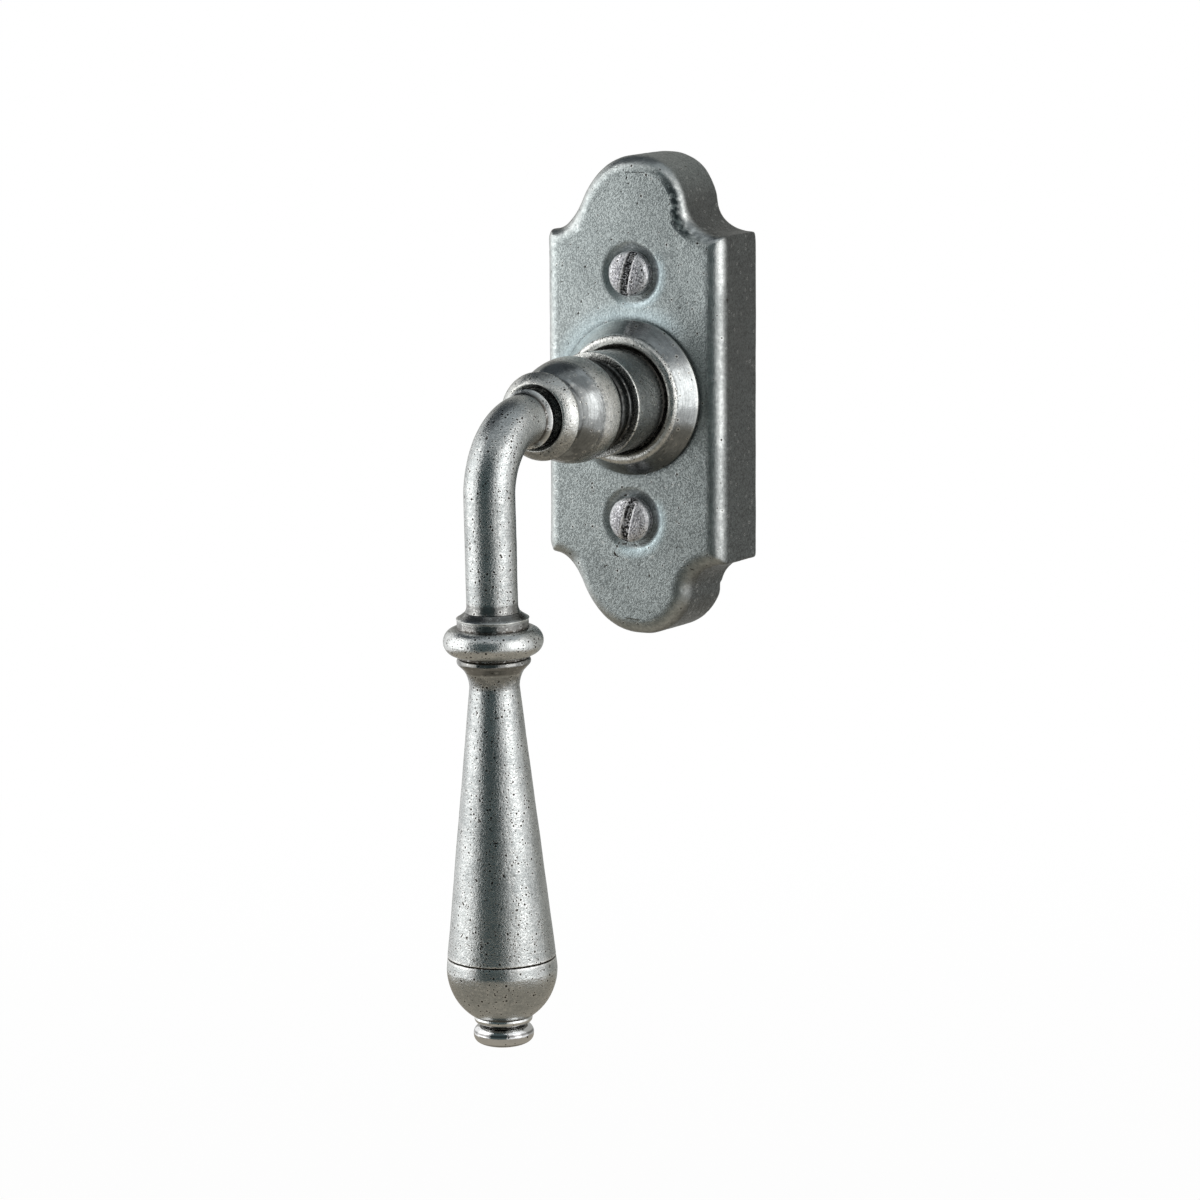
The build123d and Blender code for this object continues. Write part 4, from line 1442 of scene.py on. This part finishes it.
@dataclass
class CoverPlate(Piece):
    """The hollow shield with an arch at each end, a round front edge and two dished screw seats."""

    name: str = "cover_plate"
    body: str = "plate"
    slot: str = "plate_iron"
    finish: Finish = PLATE_IRON
    skin: Skin = PLATE_SKIN
    half_width: float = 17.65
    half_height: float = 42.0
    depth: float = -PLATE_FACE
    arch: float = 10.6
    shoulder: float = 28.8
    ledge: float = 0.8
    edge: float = 3.0
    snug: float = 0.28
    wall: float = 2.4
    front: float = 2.8
    corner: float = 2.4
    chamfer: float = 0.15
    dimple: Triple = (4.1, 5.9, 0.6)
    centre_hole: float = 9.85
    screw_hole: float = 2.65
    drill_sides: int = 96
    drill_reach: Pair = (-20.0, 5.0)
    rosette: float = 13.6
    columns: int = 99
    floor_columns: int = 7
    wall_rows: int = 12
    nick: Triple = (10.7, 0.0, -34.2)
    nick_depth: float = 0.5
    nick_width: float = 0.7
    filed: tuple[tuple[int, float, float, float], ...] = (
        (1, 31.3, 1.9, -0.6),
        (1, 39.8, 1.6, 0.35),
        (1, -35.6, 2.4, 0.6),
        (1, -39.8, 1.8, 0.35),
        (-1, 32.0, 2.6, 0.65),
        (-1, -32.0, 2.6, 0.7),
        (-1, 28.7, 0.7, -0.55),
        (-1, -28.4, 0.7, -0.55),
    )

    def rim(self, inset: float) -> Array:
        """The outline some way inside the plate's edge, as a closed loop of x and z.

        A quarter is the straight side, then the ledge and the hollow curve about the shoulder's
        centre, then the arch. The same numbered points of two loops lie across from each other.

        Args:
            inset: Distance inside the plate's edge, in millimetres.

        Returns:
            Points from the bottom crown up the right side and down the left.
        """
        ledge = self.half_width - self.ledge
        arch_centre = self.half_height - self.arch
        fall = self.shoulder - arch_centre
        cove = (ledge**2 + fall**2 - self.arch**2) / (2 * (self.arch - fall))
        centre = (ledge, self.shoulder + cove)
        side = self.half_width - inset
        foot_x = min(ledge, side)
        foot_turn = -pi / 2 - np.arcsin((ledge - foot_x) / (cove + inset))
        foot_z = centre[1] + (cove + inset) * sin(foot_turn)
        lean = np.arctan2(centre[1] - arch_centre, ledge)
        hollow = circle(centre, cove + inset, np.linspace(foot_turn, -pi + lean, 60))
        step = np.linspace((side, foot_z), (foot_x, foot_z), 12)[:-1] if side > ledge else hollow[:0]
        bend = respaced(np.concatenate([step, hollow]), 41)
        crown = circle((0, arch_centre), self.arch - inset, np.linspace(lean, pi / 2, 61)[1:])
        line = np.linspace((side, 0), (side, foot_z), 116)[:-1]
        quarter = np.concatenate([line, bend, crown])
        right = np.concatenate([quarter[::-1] * (1, -1), quarter[1:]])
        loop = soften(np.concatenate([right, right[-2:0:-1] * (-1, 1)]), self.corner, True)
        loop = self.file(loop) if inset != self.wall else loop
        loop[[0, len(loop) // 2], 0] = 0
        return loop

    def file(self, loop: Array) -> Array:
        """Moves an outline out or in where the smith filed it: depth * bell((z - place) / width) on one side.

        Args:
            loop: Closed loop of x and z.

        Returns:
            The loop, a little uneven from side to side.
        """
        along = np.roll(loop, -1, 0) - np.roll(loop, 1, 0)
        normals = np.stack([along[:, 1], -along[:, 0]], 1) / np.linalg.norm(along, axis=1, keepdims=True)
        shift = np.zeros(len(loop))
        for side, place, width, depth in self.filed:
            bell = np.exp(-0.5 * ((loop[:, 1] - place) / width) ** 2)
            shift += depth * bell * ease(0, 3, loop[:, 0] * side)
        return loop + normals * shift[:, None]

    def loops(self) -> tuple[Array, Array, Array]:
        """The walls as loops: hollow's side, back rim, outer side and the round front edge.

        The round edge goes from the outer loop to the loop `edge` inside it by a quarter turn:
        point = inner + (outer - inner) * cos t, y = edge * (1 - sin t) - depth. It is a little
        tighter on the right of the upper arch.

        Returns:
            Loops by points by x, y, z, and each loop's share of edge wear with painted highlight and how far
            down the side it is.
        """
        outer, inner, hollow, back = (self.rim(inset) for inset in (0, self.edge, self.wall, self.chamfer))
        snug = 1 - self.snug * ease(31.0, 34.0, outer[:, 1]) * ease(2.0, 6.0, outer[:, 0])
        inner = outer + (inner - outer) * snug[:, None]
        stack = [(hollow, y, 0.0, 1.0) for y in np.linspace(self.front - self.depth, 0, self.wall_rows)]
        stack += [(back, 0.0, 0.6, 1.0), (outer, -self.chamfer, 0.6, 1.0)]
        stack += [(outer, y, 0.0, 1.0) for y in np.linspace(-0.5, self.edge - self.depth + 0.3, 38)]
        for turn in np.linspace(0, pi / 2, 18):
            y = self.edge * snug * (1 - sin(turn)) - self.depth
            # A band of wear at the middle of the round edge, painted bright as the edge's highlight
            wear_and_sheen, side = 0.85 * sin(turn * 2) ** 2, 1 - float(ease(0.4, 1.1, turn))
            stack.append((inner + (outer - inner) * cos(turn), y, wear_and_sheen, side))
        rows = [np.insert(loop, 1, y, axis=1) for loop, y, _, _ in stack]
        return np.array(rows), np.array([row[2] for row in stack]), np.array([row[3] for row in stack])

    def cap(self, loop: Array, columns: int, first: int, inside: int) -> tuple[Array, Array, Array]:
        """Closes a loop with rows of points from each left point to the right point at the same height.

        Args:
            loop: Closed loop of x, y, z, from the bottom crown up the right side.
            columns: Points inside each row.
            first: Vertex number of the loop's first point.
            inside: Vertex number of the first point inside.

        Returns:
            The points inside, the quads, and the triangles at the two crowns.
        """
        half = len(loop) // 2
        right, left = loop[1:half], loop[:half:-1]
        share = np.linspace(0, 1, columns + 2)[1:-1][None, :, None]
        points = left[:, None] * (1 - share) + right[:, None] * share
        step = np.arange(1, half)
        middle = inside + np.arange((half - 1) * columns).reshape(half - 1, columns)
        rows = np.column_stack([first + len(loop) - step, middle, first + step])
        quads = np.stack([rows[:-1, :-1], rows[:-1, 1:], rows[1:, 1:], rows[1:, :-1]], -1).reshape(-1, 4)
        crown = np.full(columns + 1, first)
        low = np.stack([crown, rows[0, 1:], rows[0, :-1]], 1)
        high = np.stack([crown + half, rows[-1, :-1], rows[-1, 1:]], 1)
        return points.reshape(-1, 3), quads, np.concatenate([low, high])

    def build(self) -> bpy.types.Object:
        """Joins walls, front face and the hollow's floor, dishes the screw seats and drills the holes.

        Returns:
            The plate.
        """
        loops, wear_and_sheen, side = self.loops()
        count, length = loops.shape[:2]
        start = count * length
        face, face_quads, face_triangles = self.cap(loops[-1], self.columns, start - length, start)
        end = start + len(face)
        floor, floor_quads, floor_triangles = self.cap(loops[0], self.floor_columns, 0, end)
        points = np.concatenate([loops.reshape(-1, 3), face, floor])
        towards, calm = np.zeros_like(points), np.ones(len(points))
        towards[:start] = outward(loops, False).reshape(-1, 3)
        towards[start:end, 1] = -1
        calm[: self.wall_rows * length] = calm[end:] = 0
        points, pits = self.skin.roughen(points, towards, calm)
        rest = (0, len(points) - start)
        wear_and_sheen, side, top = (np.pad(np.repeat(share, length), rest) for share in (wear_and_sheen, side, 1 - side))
        marks = {
            # Wear on the round edge, with a painted highlight strongest at the upper right corner
            "wear_and_sheen": wear_and_sheen * self.rubbing_and_highlight(points),
            # The filed sides' dark patina, painted lighter over the upper arch where its side faces up
            "side": side * (1 - 0.6 * ease(33, 41, points[:, 2])),
            "pitted": pits,
            # Painted shade gradient over the plate
            "painted_shade": self.shade_gradient(points),
            # Painted highlights round the rosette and the screw seats
            "painted_highlight": self.highlight_spots(points),
            # Painted shade at the foot of the round edge, a painted shadow round the rosette and painted shade
            # in the seats
            "dirt_and_shade": top * self.edge_shade(points) + self.sink(points, slice(start, end)),
        }
        self.dent(points)
        quads = np.concatenate([ring_faces(count, length, False), face_quads, floor_quads[:, ::-1]])
        triangles = np.concatenate([face_triangles, floor_triangles[:, ::-1]])
        made = make_piece(self.name, points, quads, triangles, marks)
        self.drill(made)
        return made

    def shade_gradient(self, points: Array) -> Array:
        """How far painted shade darkens the iron: more to the right and below, less up and left of the
        rosette, where a lighter halo is painted.

        Args:
            points: All vertices, before the seats are dished.

        Returns:
            A share for each vertex.
        """
        x, z = points[:, 0], points[:, 2]
        cloud = Slopes(53).at(points, 11.0) + 0.5 * Slopes(54).at(points, 4.0)
        spread = 0.1 + 0.3 * ease(-12, 16, x + 0.25 * z) + 0.35 * ease(20, -42, z) + 0.12 * cloud
        halo = (1 - ease(13, 19, np.hypot(x + 2, z - 2))) * ease(4, -8, x - z * 0.6)
        return np.clip(spread - 0.35 * halo, 0, 1)

    def highlight_spots(self, points: Array) -> Array:
        """Where a pale blue highlight is painted: a halo past the rosette's upper left and a crescent below
        right of each screw's seat.

        Args:
            points: All vertices.

        Returns:
            A share for each vertex.
        """
        x, z = points[:, 0], points[:, 2]
        # Painted highlight: a lighter halo past the rosette's upper left
        blue = (1 - ease(13.8, 18.0, np.hypot(x, z))) * ease(-2, 9, z - x)
        # Painted highlight: a crescent below right of each seat
        for height in SCREW_HEIGHTS:
            off = np.hypot(x, z - height)
            crescent = ease(4.7, 5.4, off) * (1 - ease(5.8, 7.4, off)) * ease(0, 5, x - z + height)
            blue = np.maximum(blue, crescent)
        return blue

    def rubbing_and_highlight(self, points: Array) -> Array:
        """How much wear and painted highlight the round edge gets: in long soft patches, with the painted
        highlight strongest at the upper right corner.
        """
        corner = np.exp(-(((points[:, 2] - 24.0) / 5.0) ** 2)) * (points[:, 0] > 0)
        return np.clip(0.6 + 0.5 * Slopes(57).at(points, 12.0) + corner, 0.15, 1)

    def edge_shade(self, points: Array) -> Array:
        """Painted shade along the foot of the round edge, broken into ragged dark flakes, thickest on the
        right of the upper arch.

        Args:
            points: All vertices.

        Returns:
            A share for each vertex.
        """
        x, z = points[:, 0], points[:, 2]
        ragged = ease(-0.4, 0.1, Slopes(58).at(points, 0.9) + 0.4 * Slopes(59).at(points, 0.4))
        arch = ease(26.5, 29.5, z) * (1 - ease(36, 39, z)) * (x > 0)
        return (0.25 + 0.7 * arch) * ragged

    def sink(self, points: Array, front: slice) -> Array:
        """Dishes the screw seats: y moves in by depth * (1 - step), the step being between two radii.

        Args:
            points: All vertices, moved in place.
            front: Which of them are on the front face.

        Returns:
            How much painted shade each vertex gets: a painted shadow round the rosette's foot, and shade on
                the upper left of each dish.
        """
        dirt_and_shade = np.zeros(len(points))
        x, z = points[front, 0], points[front, 2]
        # Painted shadow round the rosette's foot
        dirt_and_shade[front] = 0.6 * (1 - ease(self.rosette, self.rosette + 0.9, np.hypot(x, z)))
        near, far, depth = self.dimple
        for height in SCREW_HEIGHTS:
            away = np.hypot(x, z - height)
            points[front, 1] += depth * (1 - ease(near, far, away))
            # Painted shade on the upper left side of each dish
            shaded = ease(-0.7, 0.5, (z - height - x) / np.maximum(away, 0.1) / sqrt(2))
            darkening = (0.15 + 0.6 * shaded) * (1 - ease(near, near + 0.8, away))
            dirt_and_shade[front] = np.maximum(dirt_and_shade[front], darkening)
        return dirt_and_shade

    def dent(self, points: Array) -> None:
        """Presses the small nick into the back edge: towards the middle by depth * exp(-(way / width)^2).

        Args:
            points: All vertices, moved in place.
        """
        away = np.linalg.norm(points - np.array(self.nick), axis=1)
        bell = self.nick_depth * np.exp(-((away / self.nick_width) ** 2))
        points += bell[:, None] * (-np.array(self.nick) / np.linalg.norm(self.nick))

    def drill(self, plate: bpy.types.Object) -> None:
        """Cuts the centre hole and the two screw holes with round cutters.

        Args:
            plate: The plate's object, changed in place.
        """
        sides = self.drill_sides
        turns = np.linspace(0, 2 * pi, sides, endpoint=False)
        ends = [list(range(sides))[::-1], list(range(sides, 2 * sides))]
        radii = (self.centre_hole, self.screw_hole, self.screw_hole)
        for height, radius in zip((0.0, *SCREW_HEIGHTS), radii):
            flat = circle((0, height), radius, turns)
            points = np.concatenate([np.insert(flat, 1, y, axis=1) for y in self.drill_reach]) * MM
            cutter = put_mesh("cutter", points, ring_faces(2, sides, False).tolist() + ends)
            cut = plate.modifiers.new("hole", "BOOLEAN")
            cut.operation, cut.object, cut.solver = "DIFFERENCE", cutter, "EXACT"
            view = bpy.context.evaluated_depsgraph_get()
            drilled = bpy.data.meshes.new_from_object(plate.evaluated_get(view))
            plate.modifiers.clear()
            plate.data = drilled
            bpy.data.objects.remove(cutter)


# Studio


@dataclass(frozen=True)
class Hung:
    """Something flat that hangs in the studio and faces the object. Sizes are in millimetres and degrees."""

    name: str
    azimuth: float
    elevation: float
    distance: float
    size: Pair

    def hang(self, made: bpy.types.Object, target: Vector) -> None:
        """Places it at target + distance * (cos e cos a, cos e sin a, sin e), square to that line.

        Args:
            made: The card or lamp.
            target: Middle of the object, in metres.
        """
        a, e = radians(self.azimuth), radians(self.elevation)
        away = Vector((cos(e) * cos(a), cos(e) * sin(a), sin(e)))
        turn = away.to_track_quat("Z", "Y").to_matrix().to_4x4()
        made.matrix_world = Matrix.Translation(target + away * self.distance * MM) @ turn


@dataclass(frozen=True)
class Card(Hung):
    """A flat card that only reflections see: a black flag or a dim wall beside the set."""

    tone: Triple

    def build(self, target: Vector) -> None:
        """Hangs the card, which glows in its tone.

        Args:
            target: Middle of the object, in metres.
        """
        card = put_sheet(self.name, *(part * MM / 2 for part in self.size))
        self.hang(card, target)
        material = bpy.data.materials.new(self.name)
        graph = Graph.inside(material)
        glow = graph.out("ShaderNodeEmission", {"Color": tint(self.tone)})
        graph.node("ShaderNodeOutputMaterial", {"Surface": glow})
        card.data.materials.append(material)
        card.visible_camera = card.visible_diffuse = card.visible_shadow = False
        card.visible_transmission = card.visible_volume_scatter = False


@dataclass(frozen=True)
class SoftBox(Hung):
    """A large soft lamp."""

    glow: float

    def build(self, target: Vector) -> None:
        """Hangs the lamp so that its face has the brightness `glow`: power = glow * pi * area.

        Args:
            target: Middle of the object, in metres.
        """
        lamp = bpy.data.lights.new(self.name, "AREA")
        lamp.shape = "RECTANGLE"
        lamp.size, lamp.size_y = (part * MM for part in self.size)
        lamp.energy = self.glow * pi * lamp.size * lamp.size_y
        self.hang(put(self.name, lamp), target)


@dataclass
class Studio:
    """The pale floor, the white room, the cards, the lamps and the camera."""

    floor_height: float = -240.0
    floor_side: float = 6.0
    floor_tone: Triple = (0.86, 0.85, 0.83)
    room_light: float = 0.6
    camera_place: Triple = (417.36, -757.15, 100.29)
    camera_turn: float = 29.67
    camera_lift: float = 9.06
    camera_roll: float = -0.26
    lens: float = 148.0
    sensor: float = 36.0
    clip: Pair = (0.01, 20.0)
    target: Triple = (0.0, -0.03, -0.01)
    hung: tuple[Hung, ...] = (
        Card("camera_flag", -81.0, 5.0, 420.0, (600.0, 800.0), (0.07, 0.095, 0.10)),
        Card("low_flag", -112.0, -48.0, 260.0, (420.0, 170.0), (0.07, 0.075, 0.07)),
        Card("back_flag", 92.0, 10.0, 330.0, (880.0, 700.0), (0.42, 0.42, 0.40)),
        Card("upper_flag", 158.0, 60.0, 400.0, (420.0, 420.0), (0.07, 0.08, 0.09)),
        Card("ceiling_flag", -60.0, 88.0, 420.0, (700.0, 500.0), (0.42, 0.45, 0.47)),
        Card("table_flag", -75.0, -88.0, 150.0, (460.0, 460.0), (0.36, 0.33, 0.28)),
        SoftBox("left_box", -152.0, 12.0, 480.0, (420.0, 560.0), 0.92),
        SoftBox("right_box", -6.0, 12.0, 620.0, (320.0, 560.0), 1.4),
    )

    def world(self) -> None:
        """A room that is white to the camera, to gloss and to glass, and gives plain light otherwise."""
        room = bpy.data.worlds.new("room")
        graph = Graph.inside(room)
        strength = graph.spread(graph.seen(), 0.0, 1.0, self.room_light, 1.0)
        glow = graph.out("ShaderNodeBackground", {"Color": (1, 1, 1, 1), "Strength": strength})
        graph.node("ShaderNodeOutputWorld", {"Surface": glow})
        bpy.context.scene.world = room

    def floor(self) -> None:
        """A wide pale floor that the camera sees fading to white, with the object's shadow on it."""
        floor = put_sheet("floor", self.floor_side, self.floor_side, self.floor_height * MM)
        material = bpy.data.materials.new("floor")
        graph = Graph.inside(material)
        reach = graph.out("ShaderNodeVectorMath", {0: graph.place()}, "Value", operation="LENGTH")
        share = graph.times(graph.seen(), graph.spread(reach, 0.2, 0.9, 0.95, 1.0))
        tone = graph.blend(graph.noise(4.0, 2.0), tint(self.floor_tone), tint(self.floor_tone, 0.97))
        base = graph.out("ShaderNodeBsdfPrincipled", {"Base Color": tone, "Roughness": 0.8})
        glow = graph.out("ShaderNodeEmission", {"Color": (1, 1, 1, 1)})
        front = graph.out("ShaderNodeMixShader", {0: share, 1: base, 2: glow})
        clear = graph.out("ShaderNodeBsdfTransparent", {})
        back = graph.out("ShaderNodeNewGeometry", {}, "Backfacing")
        whole = graph.out("ShaderNodeMixShader", {0: back, 1: front, 2: clear})
        graph.node("ShaderNodeOutputMaterial", {"Surface": whole})
        floor.data.materials.append(material)

    def camera(self) -> None:
        """The photograph's camera: turned from the front, lifted a little, with a long lens."""
        a, e, roll = radians(self.camera_turn), radians(self.camera_lift), radians(self.camera_roll)
        back = Vector((sin(a) * cos(e), -cos(a) * cos(e), sin(e)))
        right = Vector((cos(a), sin(a), 0))
        up = back.cross(right)
        x = right * cos(roll) + up * sin(roll)
        y = up * cos(roll) - right * sin(roll)
        lens = bpy.data.cameras.new("camera")
        lens.lens, lens.sensor_width, lens.sensor_fit = self.lens, self.sensor, "HORIZONTAL"
        lens.clip_start, lens.clip_end = self.clip
        camera = put("camera", lens)
        turn = Matrix((x, y, back)).transposed().to_4x4()
        camera.matrix_world = Matrix.Translation(Vector(self.camera_place) * MM) @ turn
        bpy.context.scene.camera = camera

    def build(self) -> None:
        """Sets up the whole studio."""
        self.world()
        self.floor()
        for thing in self.hung:
            thing.build(Vector(self.target))
        self.camera()
        bpy.context.scene.view_settings.view_transform = "Standard"


# The handle

CARRIED = {
    BUSH_PLASTIC: ("bearing_bush",),
    ZINC_CASTING: ("mechanism_carrier",),
    PLATED_STEEL: ("mechanism_lid", "lid_rivets", "tie_rod", "spindle", "spindle_pin", "index_cam"),
    SPRING_STEEL: ("leaf_spring_left", "leaf_spring_right", "snap_ring", "spring_washer"),
}


class WindowHandle:
    """The whole handle: the plate with its rosette and screws, and the lever that turns in it."""

    def __init__(self) -> None:
        """Builds every finish once."""
        effects = Effects()
        self.finishes = {finish.name: finish.build(effects) for finish in FINISHES}

    def plate_group(self) -> list[Piece]:
        """The pieces that stay on the window.

        Returns:
            The plate, its rosette and its two screws, whose slots are ragged in their own ways.
        """
        screws = [
            FixingScrew("fixing_screw_" + side, axle=Axle((0.0, PLATE_FACE, height)), ragged=ragged)
            for side, height, ragged in zip(("upper", "lower"), SCREW_HEIGHTS, (5, 8))
        ]
        return [CoverPlate(), Rosette(), *screws]

    def lever_group(self) -> list[Piece]:
        """The pieces that turn."""
        return [LeverHub(), LeverNeck(), GripRing(), Grip(), GripCap(), Finial()]

    def carried_over(self) -> None:
        """Gives the CAD nodes that keep their shape their finishes."""
        for finish, names in CARRIED.items():
            material = self.finishes[finish.name]
            for name in names:
                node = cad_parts[name]
                for place in node.material_slots:
                    place.material = material
                if len(node.material_slots) == 0:
                    node.data.materials.append(material)
                log.info("%s keeps its shape", name)

    def build(self) -> None:
        """Dresses every piece."""
        for part in [*self.plate_group(), *self.lever_group()]:
            part.dress(self.finishes)
        self.carried_over()


def main() -> None:
    """Dresses the handle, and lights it."""
    logging.basicConfig(level=logging.INFO, format="%(name)s: %(message)s")
    WindowHandle().build()
    Studio().build()


if __name__ == "__main__":
    main()
